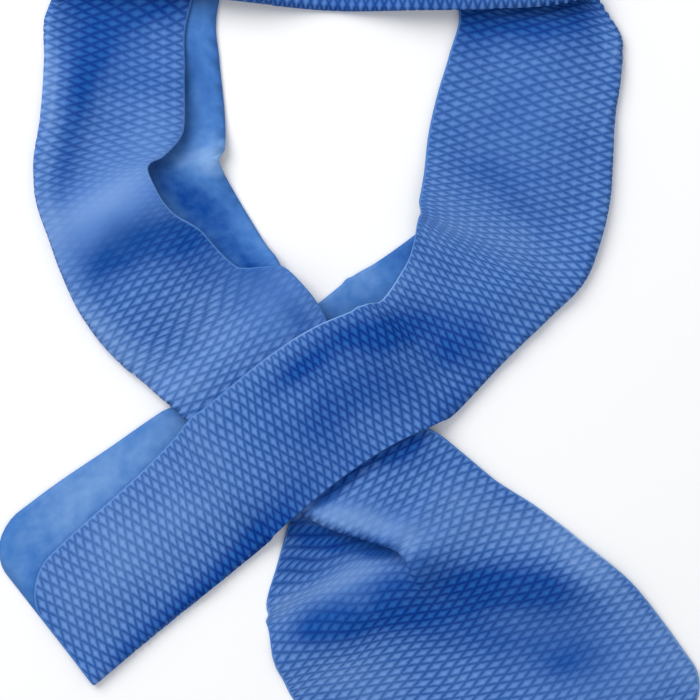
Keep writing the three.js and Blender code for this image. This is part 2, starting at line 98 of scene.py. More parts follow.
# %% Route table
ROUTE_COLUMNS = ["x", "y", "front_turn", "front", "back_turn", "back", "open_turn", "open"]
ROUTE = [
    ("tail end", -0.367, -0.478, 127.6, 0.76, 128, 1.10, 123, 0),
    ("tail", -0.286, -0.410, 125.5, 0.785, 125.5, 1.085, 123, 0),
    ("tail", -0.207, -0.346, 122.8, 0.81, 123.6, 1.05, 123, 0),
    ("tail", -0.137, -0.289, 123.2, 0.85, 123.6, 1.02, 123, 0),
    ("slit start", -0.117, -0.272, 123.8, 0.87, 123.5, 0.99, 123, 0),
    ("slit", -0.063, -0.224, 122.8, 0.86, 122.8, 0.96, 123, 0),
    ("slit", 0.000, -0.174, 123.4, 0.86, 123.5, 0.95, 123, 0),
    ("slit", 0.063, -0.134, 125.6, 0.86, 124.8, 0.96, 124, 0),
    ("slit end", 0.141, -0.095, 127.5, 0.85, 124.2, 1.03, 124, 0),
    ("elbow", 0.170, -0.067, 132, 0.79, 125, 0.99, 125, 0),
    ("elbow", 0.220, -0.014, 136, 0.83, 127, 0.93, 127, 0),
    ("elbow", 0.279, 0.043, 143, 0.975, 137, 0.89, 137, 0),
    ("elbow", 0.334, 0.100, 158, 1.07, 152, 0.84, 152, 0),
    ("right limb", 0.356, 0.157, 167, 1.12, 165, 0.81, 165, 0),
    ("right limb", 0.369, 0.214, 172, 1.13, 172, 0.79, 172, 0),
    ("right limb", 0.373, 0.271, 174, 1.12, 174, 0.79, 174, 0),
    ("right limb", 0.376, 0.329, 173, 1.08, 173, 0.82, 173, 0),
    ("right limb", 0.384, 0.386, 172, 1.04, 172, 0.86, 172, 0),
    ("right limb", 0.386, 0.443, 171, 0.99, 171, 0.91, 171, 0),
    ("right corner", 0.359, 0.504, 175, 0.97, 175, 0.93, 175, 0),
    ("nape", 0.303, 0.493, 94, 0.96, 94, 0.95, 94, 0),
    ("nape", 0.214, 0.486, 92, 0.95, 92, 0.97, 92, 0),
    ("nape", 0.114, 0.484, 90.5, 0.93, 90.5, 0.98, 90.5, 0),
    ("nape middle", -0.029, 0.486, 88, 0.91, 88, 1.00, 88, 0),
    ("nape", -0.169, 0.498, 86, 0.90, 86, 1.02, 86, 0),
    ("nape", -0.257, 0.511, 85, 0.88, 85, 1.04, 85, 0),
    ("nape", -0.343, 0.517, 84.5, 0.87, 84.5, 1.04, 84.5, 0),
    ("left corner", -0.421, 0.517, 1, 0.85, 1, 1.01, 1, 0),
    ("left limb", -0.434, 0.471, -4, 0.85, -1, 1.03, 0, 0),
    ("left limb", -0.434, 0.414, -5, 0.85, 0, 1.05, 0, 0),
    ("left limb", -0.440, 0.329, -4, 0.87, 0.6, 1.11, 0, 0),
    ("left limb", -0.449, 0.271, 0.9, 0.78, 3, 1.15, 3, 0),
    ("left limb", -0.449, 0.243, 7.5, 0.71, 6, 1.12, 6, 0),
    ("left limb", -0.446, 0.214, 15, 0.70, 8.6, 1.14, 9, 0),
    ("left limb", -0.427, 0.157, 23.5, 0.715, 12.7, 1.16, 13, 0),
    ("left limb", -0.406, 0.100, 32, 0.77, 16, 1.19, 16, 0),
    ("left limb", -0.377, 0.043, 36, 0.89, 20, 1.20, 20, 0),
    ("left limb", -0.331, -0.014, 38.5, 0.915, 28.5, 1.14, 27, 0),
    ("crossing", -0.291, -0.047, 39, 1.10, 33, 1.08, 30, 0),
    ("crossing", -0.254, -0.079, 39.6, 1.08, 34.9, 1.00, 34, 0),
    ("crossing", -0.166, -0.157, 41, 0.93, 34, 0.82, 33, 0.20),
    ("through slit", -0.071, -0.230, 44, 0.85, 31, 0.56, 31.7, 0.725),
    ("pleat", -0.023, -0.255, 44.7, 0.845, 28, 0.33, 31.5, 0.91),
    ("pleat", 0.024, -0.270, 42.8, 0.78, 26, 0.21, 33.2, 1.11),
    ("pleat end", 0.068, -0.286, 38.8, 0.72, 22, 0.02, 29.5, 1.025),
    ("open tail", 0.109, -0.343, 35, 0.85, 26, 0, 30.3, 1.03),
    ("open tail", 0.146, -0.383, 33.5, 0.90, 28.6, 0, 27.4, 1.08),
    ("open tail", 0.214, -0.446, 32, 0.93, 28.4, 0, 28.4, 1.12),
    ("open tail", 0.261, -0.500, 32.2, 0.92, 28, 0, 28, 1.12),
    ("open tail", 0.303, -0.554, 31.8, 0.91, 28, 0, 28, 1.10),
    ("open tail end", 0.345, -0.607, 31.8, 0.90, 28, 0, 28, 1.07),
]
places = [row[0] for row in ROUTE]
SLIT_START = places.index("slit start")
SLIT_END = places.index("slit end")
RIGHT_CORNER = places.index("right corner")
NAPE_MIDDLE = places.index("nape middle")
LEFT_CORNER = places.index("left corner")
CROSSING = places.index("crossing")
OPEN_TAIL = places.index("open tail")
print(len(ROUTE), "rows on the route")

# %% [markdown]
# ## How high the layers lie
#
# Cloth on a table is never quite flat. The fold is a soft roll, and one layer climbs over the
# other at the crossing. Heights are counted in layers above the table. base is the lowest layer,
# roll and lap are the radii of the fold and of the hidden lap, far is the free edge of the front
# layer, over is 1 where the cloth doubles back and 0 where it lies open, and shoulder is how far
# the height of the fold reaches. lift is how much a row of the nape sinks between the corners.

# %% Height table
HEIGHT_COLUMNS = ["row", "base", "roll", "lap", "far", "over", "shoulder", "lift"]
HEIGHTS = [
    (0, 0, 0.80, 0, 1.0, 1, 0.30, 0),
    (2, 0, 0.85, 0, 1.1, 1, 0.30, 0),
    (3, 0, 1.00, 0, 3.2, 1, 0.40, 0),
    (4, 0, 1.45, 0, 4.8, 1, 0.38, 0),
    (5, 0, 2.40, 0, 4.7, 1, 0.80, 0),
    (6, 0, 2.70, 0, 4.4, 1, 0.90, 0),
    (7, 0, 2.50, 0, 4.2, 1, 0.90, 0),
    (8, 0, 1.35, 0, 4.1, 1, 0.60, 0),
    (9, 0, 1.05, 0, 2.0, 1, 0.45, 0),
    (10, 0, 1.05, 0, 1.0, 1, 0.35, 0),
    (13, 0, 1.15, 0, 1.0, 1, 0.35, 0),
    (18, 0, 0.95, 0, 1.0, 1, 0.25, 0),
    (21, 0, 0.85, 0, 1.0, 1, 0.25, 0),
    (22, 0, 0.85, 0, 1.0, 1, 0.25, 0),
    (23, 0, 0.85, 0, 1.0, 1, 0.25, 1),
    (24, 0, 0.85, 0, 1.0, 1, 0.25, 0),
    (28, 0, 0.95, 0, 1.0, 1, 0.25, 0),
    (30, 0, 1.50, 0, 1.8, 1, 0.40, 0),
    (34, 0, 1.60, 0, 1.8, 1, 0.40, 0),
    (37, 0, 1.20, 0, 1.3, 1, 0.40, 0),
    (38, 0.4, 0.85, 0, 1.5, 1, 0.40, 0),
    (39, 0.7, 0.72, 0.58, 2.7, 1, 0.30, 0),
    (40, 1, 0.66, 0.62, 3.3, 1, 0.30, 0),
    (41, 1, 0.66, 0.58, 3.4, 1, 0.50, 0),
    (42, 0, 1.50, 0.75, 2.3, 1, 0.90, 0),
    (43, 0, 1.55, 0.75, 1.0, 1, 0.90, 0),
    (44, 0, 1.30, 0.85, 0.5, 0.80, 0.90, 0),
    (45, 0, 1.60, 1.60, 0.3, 0.22, 0.90, 0),
    (46, 0, 1.60, 1.60, 0.2, 0.05, 0.90, 0),
    (50, 0, 1.60, 1.60, 0, 0.02, 0.90, 0),
]
DOUBLED = 1 - TINY
print(len(HEIGHTS), "rows of heights")

# %% [markdown]
# ## Flips and swells
#
# At the two top corners the folded band flips over towards the front, as a belt does when it is
# turned by folding it on the diagonal. A flip needs a point on its crease and a direction.
#
# A swell is a soft hump or hollow in one layer. It is worked out as a rounded hill, which stays
# smooth however fine the mesh is, and is easier to place than a sculpted one. A row says which
# layer it lifts, the first and the last row of the route that it may reach, where its middle is,
# the turn of its long axis in degrees, and how long, wide and high it is in shares of BAND_WIDTH.

# %% Flip and swell tables
FLIP_COLUMNS = ["x", "y", "turn", "side"]
FLIPS = [
    (0.340, 0.488, 136, -1),
    (-0.404, 0.499, 43, 1),
]
SWELLS = [
    ("front", 29, 38, -0.350, 0.180, 28, 0.38, 0.12, 0.060),
    ("front", 28, 38, -0.406, 0.371, 78, 0.33, 0.085, 0.024),
    ("front", 28, 38, -0.260, 0.380, 92, 0.42, 0.10, 0.025),
    ("front", 33, 39, -0.330, 0.045, 40, 0.32, 0.14, 0.030),
    ("back", 29, 38, -0.185, 0.275, 22, 0.10, 0.07, 0.030),
    ("both", 35, 41, -0.085, 0.095, 130, 0.16, 0.09, 0.030),
    ("front", 10, 19, 0.150, 0.170, 140, 0.50, 0.12, 0.030),
    ("front", 13, 19, 0.300, 0.330, 95, 0.50, 0.14, 0.025),
    ("front", 0, 4, -0.307, -0.314, 39, 0.42, 0.14, 0.016),
    ("front", 4, 10, -0.010, -0.050, 60, 0.45, 0.14, 0.020),
    ("front", 8, 12, 0.200, 0.030, 45, 0.40, 0.10, 0.020),
    ("both", 44, 51, -0.010, -0.330, 30, 0.34, 0.16, 0.045),
    ("both", 43, 51, 0.229, -0.317, -9, 0.40, 0.115, 0.038),
    ("both", 45, 51, 0.210, -0.560, 20, 0.60, 0.18, 0.030),
]
print(len(FLIPS), "flips and", len(SWELLS), "swells")

# %% [markdown]
# ## Painted shade, painted light and faded places
#
# Most of the deeper and paler patches of the blue are painted light and shade: a painted shadow
# where the nape lies over the right limb, painted shade in the hollows under the pleat and the lip
# of the slit, and painted highlights on ridges, folds and raised edges. A little of it is the uneven
# blue of damp cloth. The emboss also fades where it is pulled or pressed. A painted image would only
# be as sharp as its pixels, so these places are written as rows of the same kind as the swells. The
# last value of a row of painted shade and light is how much deeper the blue is painted there, or
# paler where it is negative. The last value of a fade is how much of the emboss is gone. front and
# back rows colour one layer of the embossed face, inside rows the smooth face, rim rows the cut
# edge, and both rows all of them.

# %% Painted shade and light, and fade tables
# Positive rows are painted shade, negative rows painted highlights.
PAINTED_SHADE_AND_LIGHT = [
    ("front", 26, 40, -0.346, 0.474, 70, 0.22, 0.14, 0.90),
    ("front", 26, 40, -0.383, 0.371, 78, 0.33, 0.06, 0.40),
    ("front", 28, 40, -0.411, 0.243, 80, 0.15, 0.04, 0.40),
    ("front", 26, 40, -0.286, 0.494, 0, 0.27, 0.06, 0.80),
    ("front", 28, 40, -0.426, 0.371, 90, 0.30, 0.03, -0.70),
    ("front", 28, 40, -0.379, 0.371, 75, 0.21, 0.04, 0.33),
    ("front", 28, 40, -0.286, 0.317, 60, 0.11, 0.08, -0.35),
    ("front", 28, 40, -0.357, 0.209, 32, 0.20, 0.05, -0.95),
    ("front", 28, 40, -0.264, 0.157, 15, 0.19, 0.08, 1.10),
    ("front", 28, 40, -0.353, 0.120, 30, 0.12, 0.07, 0.65),
    ("front", 28, 41, -0.189, 0.021, 45, 0.15, 0.11, -0.50),
    ("front", 28, 41, -0.236, -0.054, 0, 0.09, 0.07, -0.40),
    ("front", 0, 6, -0.343, -0.300, 39, 0.36, 0.13, -0.45),
    ("front", 0, 6, -0.207, -0.343, 40, 0.29, 0.05, 1.10),
    ("front", 0, 7, -0.117, -0.257, 40, 0.15, 0.08, 0.91),
    ("front", 0, 3, -0.314, -0.429, 40, 0.15, 0.04, 0.52),
    ("front", 3, 11, -0.007, -0.083, 40, 0.28, 0.15, 0.95),
    ("front", 5, 13, 0.071, 0.029, 10, 0.19, 0.06, 1.04),
    ("front", 4, 10, -0.071, -0.026, 35, 0.19, 0.04, 0.85),
    ("front", 8, 13, 0.171, 0.000, 35, 0.12, 0.06, 0.59),
    ("front", 7, 12, 0.143, -0.079, 47, 0.17, 0.04, 0.59),
    ("front", 7, 13, 0.066, 0.086, 50, 0.11, 0.02, -0.30),
    ("front", 3, 9, -0.086, 0.017, 38, 0.18, 0.02, -0.55),
    ("front", 10, 19, 0.214, 0.163, -20, 0.21, 0.09, -0.40),
    ("front", 11, 19, 0.129, 0.157, 80, 0.11, 0.06, -0.35),
    ("front", 12, 21, 0.214, 0.236, -45, 0.22, 0.04, 0.26),
    ("front", 15, 21, 0.254, 0.486, -4, 0.25, 0.09, 1.60),
    ("both", 40, 51, 0.071, -0.140, 30, 0.08, 0.03, 2.20),
    ("both", 40, 51, -0.024, -0.199, 42, 0.13, 0.02, 2.00),
    ("both", 40, 51, -0.007, -0.240, -14, 0.18, 0.03, -1.40),
    ("both", 40, 51, -0.011, -0.273, -13, 0.19, 0.03, 2.40),
    ("both", 41, 51, -0.021, -0.333, 24, 0.22, 0.03, -1.10),
    ("both", 41, 51, -0.100, -0.393, 75, 0.11, 0.04, -0.45),
    ("both", 41, 51, 0.114, -0.351, 8, 0.30, 0.08, 1.49),
    ("both", 41, 51, -0.029, -0.397, 10, 0.16, 0.05, 1.04),
    ("both", 41, 51, 0.307, -0.343, 0, 0.24, 0.08, 0.85),
    ("both", 41, 51, 0.271, -0.279, -32, 0.28, 0.06, -0.45),
    ("both", 41, 51, 0.143, -0.231, -35, 0.15, 0.09, -0.40),
    ("both", 41, 51, 0.000, -0.471, 0, 0.19, 0.09, -0.45),
    ("both", 41, 51, 0.314, -0.446, 0, 0.10, 0.07, 0.72),
    ("both", 41, 51, 0.421, -0.436, -50, 0.13, 0.11, -0.35),
    ("inside", 0, 6, -0.379, -0.207, 35, 0.30, 0.10, -0.55),
    ("inside", 0, 6, -0.257, -0.107, 35, 0.10, 0.05, -0.30),
    ("inside", 0, 2, -0.477, -0.300, 60, 0.09, 0.07, 0.35),
    ("inside", 28, 40, -0.229, 0.400, 90, 0.27, 0.02, 0.90),
    ("inside", 28, 40, -0.206, 0.271, 10, 0.09, 0.04, -1.10),
    ("inside", 28, 40, -0.217, 0.197, -48, 0.16, 0.05, 0.90),
    ("inside", 28, 40, -0.163, 0.143, -40, 0.08, 0.04, 0.60),
    ("inside", 28, 40, -0.091, 0.100, -45, 0.08, 0.04, -0.60),
    ("inside", 28, 40, -0.269, 0.250, 90, 0.05, 0.03, 0.60),
    ("inside", 4, 12, -0.014, 0.100, 35, 0.14, 0.04, -0.45),
    ("inside", 4, 12, 0.074, 0.134, 60, 0.07, 0.04, 0.35),
    ("rim", 6, 14, -0.029, 0.036, 30, 0.39, 0.10, -1.00),
    ("rim", 28, 38, -0.221, 0.229, 60, 0.36, 0.12, -0.55),
    ("front", 26, 41, -0.434, 0.443, 90, 0.24, 0.03, -0.80),
    ("front", 28, 41, -0.429, 0.183, -74, 0.18, 0.04, -0.75),
    ("front", 28, 41, -0.374, 0.046, -54, 0.17, 0.05, -0.85),
    ("front", 28, 41, -0.303, -0.023, -42, 0.12, 0.07, -0.70),
    ("front", 15, 21, 0.377, 0.436, -70, 0.14, 0.03, -0.50),
    ("both", 35, 41, -0.140, 0.131, -50, 0.10, 0.05, 0.60),
    ("front", 33, 41, -0.177, 0.106, -45, 0.16, 0.07, 0.50),
    ("front", 35, 41, -0.069, 0.046, -40, 0.10, 0.04, 0.60),
    ("front", 12, 21, 0.229, 0.286, 90, 0.33, 0.18, 0.25),
    ("front", 3, 11, 0.014, -0.100, 40, 0.10, 0.07, -0.50),
    ("front", 8, 13, 0.117, -0.017, 45, 0.12, 0.05, 0.50),
    ("front", 0, 3, -0.429, -0.383, -55, 0.17, 0.05, -1.20),
    ("front", 0, 6, -0.329, -0.183, 40, 0.20, 0.05, -0.20),
    ("both", 20, 27, 0.029, 0.489, 0, 0.45, 0.09, 0.50),
    ("both", 41, 51, -0.069, -0.297, 10, 0.11, 0.07, 0.60),
    ("both", 41, 51, 0.221, -0.414, 0, 0.32, 0.07, 0.60),
    ("both", 41, 51, 0.343, -0.309, -45, 0.20, 0.06, -1.20),
    ("both", 41, 51, 0.477, -0.454, -60, 0.12, 0.04, -0.50),
    ("inside", 28, 40, -0.194, 0.177, -60, 0.10, 0.05, 0.55),
    ("inside", 28, 40, -0.214, 0.240, 0, 0.07, 0.04, -0.35),
    ("inside", 0, 3, -0.451, -0.231, 30, 0.10, 0.07, 0.40),
    ("front", 15, 21, 0.171, 0.457, 80, 0.12, 0.07, 0.35),
    ("front", 28, 40, -0.293, 0.379, 90, 0.13, 0.08, 0.35),
    ("both", 41, 51, 0.021, -0.360, 0, 0.08, 0.04, -0.40),
    ("both", 41, 51, 0.097, -0.160, 0, 0.08, 0.05, 0.30),
    ("both", 42, 51, 0.083, -0.280, 80, 0.04, 0.02, -1.10),
    ("front", 0, 14, -0.214, -0.186, 42, 0.58, 0.21, -0.25),
]
FADES = [
    ("front", 29, 38, -0.357, 0.180, 30, 0.34, 0.15, 0.95),
    ("both", 35, 41, -0.107, 0.086, 130, 0.22, 0.14, 0.80),
    ("front", 26, 40, -0.320, 0.370, 90, 0.36, 0.24, 0.30),
    ("front", 12, 21, 0.229, 0.320, 90, 0.40, 0.26, 0.32),
    ("both", 40, 51, -0.003, -0.233, -14, 0.20, 0.05, 0.85),
    ("both", 42, 51, 0.003, -0.326, 35, 0.26, 0.10, 0.70),
    ("both", 42, 51, 0.330, -0.440, 150, 0.30, 0.16, 0.45),
]
print(len(PAINTED_SHADE_AND_LIGHT), "tones and", len(FADES), "fades")

# %% [markdown]
# ## Smooth curves through the tables
#
# Straight lines between the rows would show as kinks in the cloth. A cubic through the rows gives
# one smooth edge. For reaches and heights the slopes are held back at every turning point, so
# that the curve never swings past a value that the table gives.

# %% Curves
def through(stations, values, at, held):
    """A smooth curve through the values at the stations, read at every place in at."""
    stations = np.asarray(stations, float)
    values = np.asarray(values, float)
    rise = np.diff(values) / np.diff(stations)
    before = np.r_[rise[0], rise]
    after = np.r_[rise, rise[-1]]
    slope = (before + after) / 2
    if held:
        agree = before * after > 0
        total = np.where(agree, before + after, 1)
        slope = np.where(agree, 2 * before * after / total, 0)
        slope[0] = slope[-1] = 0
    i = np.clip(np.searchsorted(stations, at, side="left") - 1, 0, len(stations) - 2)
    step = stations[i + 1] - stations[i]
    f = np.clip((at - stations[i]) / step, 0, 1)
    g = 1 - f
    ends = values[i] * g * g * (1 + 2 * f) + values[i + 1] * f * f * (1 + 2 * g)
    return ends + step * f * g * (g * slope[i] - f * slope[i + 1])


def smooth_step(value):
    f = np.clip(value, 0, 1)
    return f * f * (3 - 2 * f)


def table(columns, rows):
    return {name: np.array([row[k] for row in rows], float) for k, name in enumerate(columns)}


print("half way up a smooth step:", float(smooth_step(0.5)))

# %% [markdown]
# ## Unrolling the flips
#
# Between the two corners the band is seen from its other side. It is easier to work out the cloth
# before it was flipped, lying flat beyond the crease, and to roll it over afterwards. So the rows
# past a corner are mirrored about its crease, and moved by half the length that the roll takes up.

# %% Flat runs on both sides of the nape
FLIP_AXIS = FLIP_HEIGHT / 2
FLIP_ROLL = FLIP_AXIS - FLOOR_LEVEL - LAYER_PITCH / 2

flips = table(FLIP_COLUMNS, FLIPS)
flip_turn = np.radians(flips["turn"])
flip_point = np.stack([flips["x"], flips["y"]], 1) * LAY_SPAN
flip_beyond = np.stack([-np.sin(flip_turn), np.cos(flip_turn)], 1) * flips["side"][:, None]

laid_rows = table(ROUTE_COLUMNS, [row[1:] for row in ROUTE])
for name in ("x", "y"):
    laid_rows[name] *= LAY_SPAN
for name in ("front", "back", "open"):
    laid_rows[name] *= HALF_WIDTH
for name in ("front_turn", "back_turn", "open_turn"):
    laid_rows[name] = np.radians(laid_rows[name])


def past_crease(k, x, y):
    """How far a place lies beyond the crease of flip k."""
    return (x - flip_point[k, 0]) * flip_beyond[k, 0] + (y - flip_point[k, 1]) * flip_beyond[k, 1]


def flat_run(k, flipped):
    """The route with the flipped rows laid flat beyond the crease of flip k."""
    depth = past_crease(k, laid_rows["x"], laid_rows["y"]) - np.pi * FLIP_ROLL / 2
    run = dict(laid_rows)
    run["x"] = laid_rows["x"] - np.where(flipped, 2 * depth * flip_beyond[k, 0], 0)
    run["y"] = laid_rows["y"] - np.where(flipped, 2 * depth * flip_beyond[k, 1], 0)
    for name in ("front_turn", "back_turn", "open_turn"):
        run[name] = np.where(flipped, 2 * flip_turn[k] - laid_rows[name], laid_rows[name])
    return run


row_number = np.arange(len(ROUTE))
right_run = flat_run(0, row_number > RIGHT_CORNER)
left_run = flat_run(1, row_number < LEFT_CORNER)


def steps_of(run):
    return np.hypot(np.diff(run["x"]), np.diff(run["y"]))


first_half = row_number[1:] <= NAPE_MIDDLE
along = np.r_[0, np.cumsum(np.where(first_half, steps_of(right_run), steps_of(left_run)))]
BAND_LENGTH = float(along[-1])
heights = table(HEIGHT_COLUMNS, HEIGHTS)
height_stations = along[heights["row"].astype(int)]
print("length of the fold in mm:", round(BAND_LENGTH * 1000, 1))

# %% [markdown]
# ## From a place on the flat strip to a place on the table
#
# A place on the strip has two numbers: s is the length along the strip, and t is the place across
# it, from -HALF_WIDTH to HALF_WIDTH. The functions below bend that flat strip into the laid wrap.
# The front layer leaves the fold on an arc and settles to its far height. The back layer turns
# under on the other half of the arc. Working with whole arrays keeps this quick for many points.

# %% Everything known of the band at length s
def section_at(s):
    first = s <= along[NAPE_MIDDLE]
    c = {"s": s, "first": first}
    for name in ROUTE_COLUMNS:
        held = name in ("front", "back", "open")
        on_right = through(along, right_run[name], s, held)
        c[name] = np.where(first, on_right, through(along, left_run[name], s, held))
    for name in HEIGHT_COLUMNS[1:]:
        c[name] = through(height_stations, heights[name], s, True)
    c["turn_over"] = np.pi * c["over"]
    c["roll"] = c["roll"] * LAYER_PITCH
    c["lap"] = c["lap"] * LAYER_PITCH
    inside_slit = np.minimum(s - along[SLIT_START], along[SLIT_END] - s)
    c["cut"] = smooth_step(inside_slit / SLIT_RAMP)
    half_turn = c["turn_over"] / 2
    bend = (half_turn - np.sin(half_turn)) * c["roll"] * (1 - c["cut"])
    front_cloth = c["front"] + bend
    back_cloth = c["back"] + c["open"] + bend
    c["scale"] = BAND_WIDTH / (front_cloth + back_cloth)
    c["fold"] = HALF_WIDTH - front_cloth * c["scale"]
    c["front_cloth"] = front_cloth
    c["back_cloth"] = back_cloth
    return c


first_end = section_at(np.zeros(1))
print("the fold starts", round(float(first_end["fold"][0]) * 1000, 1), "mm off the strip's middle")


# %% Soft patches and the heights of the layers
def humps(rows, layer, c, x, y):
    """The sum of the soft patches of one layer at places x, y."""
    total = np.zeros_like(x)
    for kind, first, last, at_x, at_y, turn, long, wide, rise in rows:
        if kind not in (layer, "both"):
            continue
        way = np.radians(turn)
        dx = x - at_x * LAY_SPAN
        dy = y - at_y * LAY_SPAN
        a = (dx * np.cos(way) + dy * np.sin(way)) / (long * BAND_WIDTH)
        b = (dy * np.cos(way) - dx * np.sin(way)) / (wide * BAND_WIDTH)
        fade = smooth_step((c["s"] - along[first]) / SWELL_FADE)
        if last < len(along):
            fade = fade * smooth_step((along[last] - c["s"]) / SWELL_FADE)
        total += rise * fade * np.exp(-a * a - b * b)
    return total


def layer_heights(c):
    """Heights of the back layer and of the front layer at the fold."""
    turn = 1 - np.cos(c["turn_over"])
    base = FLOOR_LEVEL + c["base"] * LAYER_PITCH
    back = base + c["lap"] * turn + c["back"] * np.sin(c["turn_over"])
    return back, back + c["roll"] * turn


# %% The front layer
def front_point(c, u):
    """The front layer at cloth distance u from the fold."""
    near = layer_heights(c)[1]
    start = c["turn_over"] / 2 * (1 - c["cut"])
    roll = c["roll"]
    angle = np.maximum(start - u / np.maximum(roll, TINY), 0)
    reach = roll * (np.sin(start) - np.sin(angle)) + np.maximum(u - start * roll, 0)
    x = c["x"] + np.cos(c["front_turn"]) * reach
    y = c["y"] + np.sin(c["front_turn"]) * reach
    far = FLOOR_LEVEL + c["far"] * LAYER_PITCH
    down = smooth_step(reach / (c["shoulder"] * HALF_WIDTH))
    free = np.where(c["over"] < DOUBLED, 1, down)
    z = near + (far - near) * down - roll * (1 - np.cos(angle))
    z = z + humps(SWELLS, "front", c, x, y) * free * BAND_WIDTH
    return np.stack([x, y, z], -1)


print("the fold at the first end, in mm:", np.round(front_point(first_end, np.zeros(1))[0] * 1000, 1))


# %% The back layer and what opens out from under it
def back_point(c, w):
    """The back layer, or what opens out from under it, at cloth distance w from the fold."""
    near = layer_heights(c)[1]
    turn_over = c["turn_over"]
    half_turn = turn_over / 2
    start = half_turn + half_turn * c["cut"]
    roll = c["roll"]
    arc = (turn_over - start) * roll
    bend = np.minimum(w, arc) / np.maximum(roll, TINY) + start
    straight = np.clip(w - arc, 0, c["back"])
    reach = -roll * (np.sin(bend) - np.sin(start)) - np.cos(turn_over) * straight
    z = near - roll * (1 - np.cos(bend)) - np.sin(turn_over) * straight
    x = c["x"] + np.cos(c["back_turn"]) * reach
    y = c["y"] + np.sin(c["back_turn"]) * reach
    past = w - arc - c["back"]
    lap = np.maximum(c["lap"], TINY)
    angle = np.maximum(turn_over - past / lap, 0)
    out = -lap * (np.sin(turn_over) - np.sin(angle))
    half_out = -lap * (np.sin(turn_over) - 1)
    on_way = np.where((angle > np.pi / 2) | (turn_over < np.pi / 2), out, half_out)
    off_way = out - on_way - np.maximum(past - turn_over * c["lap"], 0)
    opened = (past > 0) & (c["open"] > TINY)
    across = np.cos(c["back_turn"]) * on_way + np.cos(c["open_turn"]) * off_way
    upward = np.sin(c["back_turn"]) * on_way + np.sin(c["open_turn"]) * off_way
    x = x + np.where(opened, across, 0)
    y = y + np.where(opened, upward, 0)
    z = z - np.where(opened, lap * (np.cos(angle) - np.cos(turn_over)), 0)
    free = np.where(c["over"] < DOUBLED, 1, smooth_step(w / (c["shoulder"] * HALF_WIDTH)))
    z = z + humps(SWELLS, "back", c, x, y) * free * BAND_WIDTH
    return np.stack([x, y, z], -1)


back_edge = back_point(first_end, first_end["back_cloth"])[0]
print("the back layer's edge at the first end, in mm:", np.round(back_edge * 1000, 1))


# %% The roll over a crease
def rolled(c, point):
    """Rolls the flat run over its crease, and sinks the nape to the table."""
    k = np.where(c["first"], 0, 1)
    x, y, z = point[:, 0], point[:, 1], point[:, 2]
    height = z + c["lift"] * 2 * (FLIP_AXIS - FLOOR_LEVEL - c["roll"])
    beyond = flip_beyond[k]
    depth = (x - flip_point[k, 0]) * beyond[:, 0] + (y - flip_point[k, 1]) * beyond[:, 1]
    angle = np.clip(depth / FLIP_ROLL, 0, np.pi)
    passed = np.maximum(depth - np.pi * FLIP_ROLL, 0)
    offset = np.where(depth > 0, (FLIP_AXIS - height) * np.sin(angle) - passed - depth, 0)
    over = FLIP_AXIS - (FLIP_AXIS - height) * np.cos(angle)
    return np.stack(
        [x + beyond[:, 0] * offset, y + beyond[:, 1] * offset, np.where(depth > 0, over, height)], -1
    )


def laid_point(s, t, side):
    """The middle of the cloth. side says which layer a place on the fold belongs to."""
    c = section_at(s)
    across = (t - c["fold"]) / c["scale"]
    on_front = np.where(np.abs(across) < TINY, side > 0, across > 0)[:, None]
    away = np.abs(across)
    return rolled(c, np.where(on_front, front_point(c, away), back_point(c, away)))


# %% The normal of the cloth
NORMAL_STEP = 0.0002


def laid_normal(s, t, side):
    """The unit normal of the laid cloth, on its embossed side."""
    fold = section_at(s)["fold"]
    layer = np.where(np.abs(t - fold) < TINY, side, np.sign(t - fold))
    inward = np.abs(t) > HALF_WIDTH - 2 * NORMAL_STEP
    dt = np.where(inward, -layer, layer) * NORMAL_STEP
    lower = np.maximum(s - NORMAL_STEP, 0)
    upper = np.minimum(s + NORMAL_STEP, BAND_LENGTH)
    off_fold = t + np.where(np.abs(t - fold) < NORMAL_STEP, layer * NORMAL_STEP, 0)
    way_s = laid_point(upper, off_fold, layer) - laid_point(lower, off_fold, layer)
    way_t = (laid_point(s, t + dt, layer) - laid_point(s, t, layer)) * np.sign(dt)[:, None]
    normal = np.cross(way_s, way_t)
    return normal / np.maximum(np.linalg.norm(normal, axis=1), TINY * TINY)[:, None]


probe = laid_point(np.array([0.0]), np.array([0.0]), np.array([1.0]))[0]
print("the middle of the first tail's end, in mm:", np.round(probe * 1000, 1))

# %% [markdown]
# ## The embossed sheet, made flat
#
# The real cloth is embossed while it is flat, between a plain roller and one with a lattice of
# ridges. The model is made in the same order. One diamond is a small grid of nine faces, sunk all
# round by the depth of the groove. Geometry Nodes repeats it over a staggered lattice and joins
# the copies where they meet. Doing this before the bending keeps every diamond alike, and the
# groove is real relief that also shows at the edges of the cloth.

# %% Node helpers
class NodeMaker:
    """Short ways to add nodes to one tree and to join them."""

    def __init__(self, tree):
        self.tree = tree

    def put(self, value, socket):
        if isinstance(value, bpy.types.NodeSocket):
            self.tree.links.new(value, socket)
        else:
            socket.default_value = value

    def node(self, kind, **settings):
        made = self.tree.nodes.new(kind)
        for name, value in settings.items():
            setattr(made, name, value)
        return made

    def math(self, operation, a, b=0.0, clamp=False):
        made = self.node("ShaderNodeMath", operation=operation, use_clamp=clamp)
        self.put(a, made.inputs[0])
        self.put(b, made.inputs[1])
        return made.outputs[0]


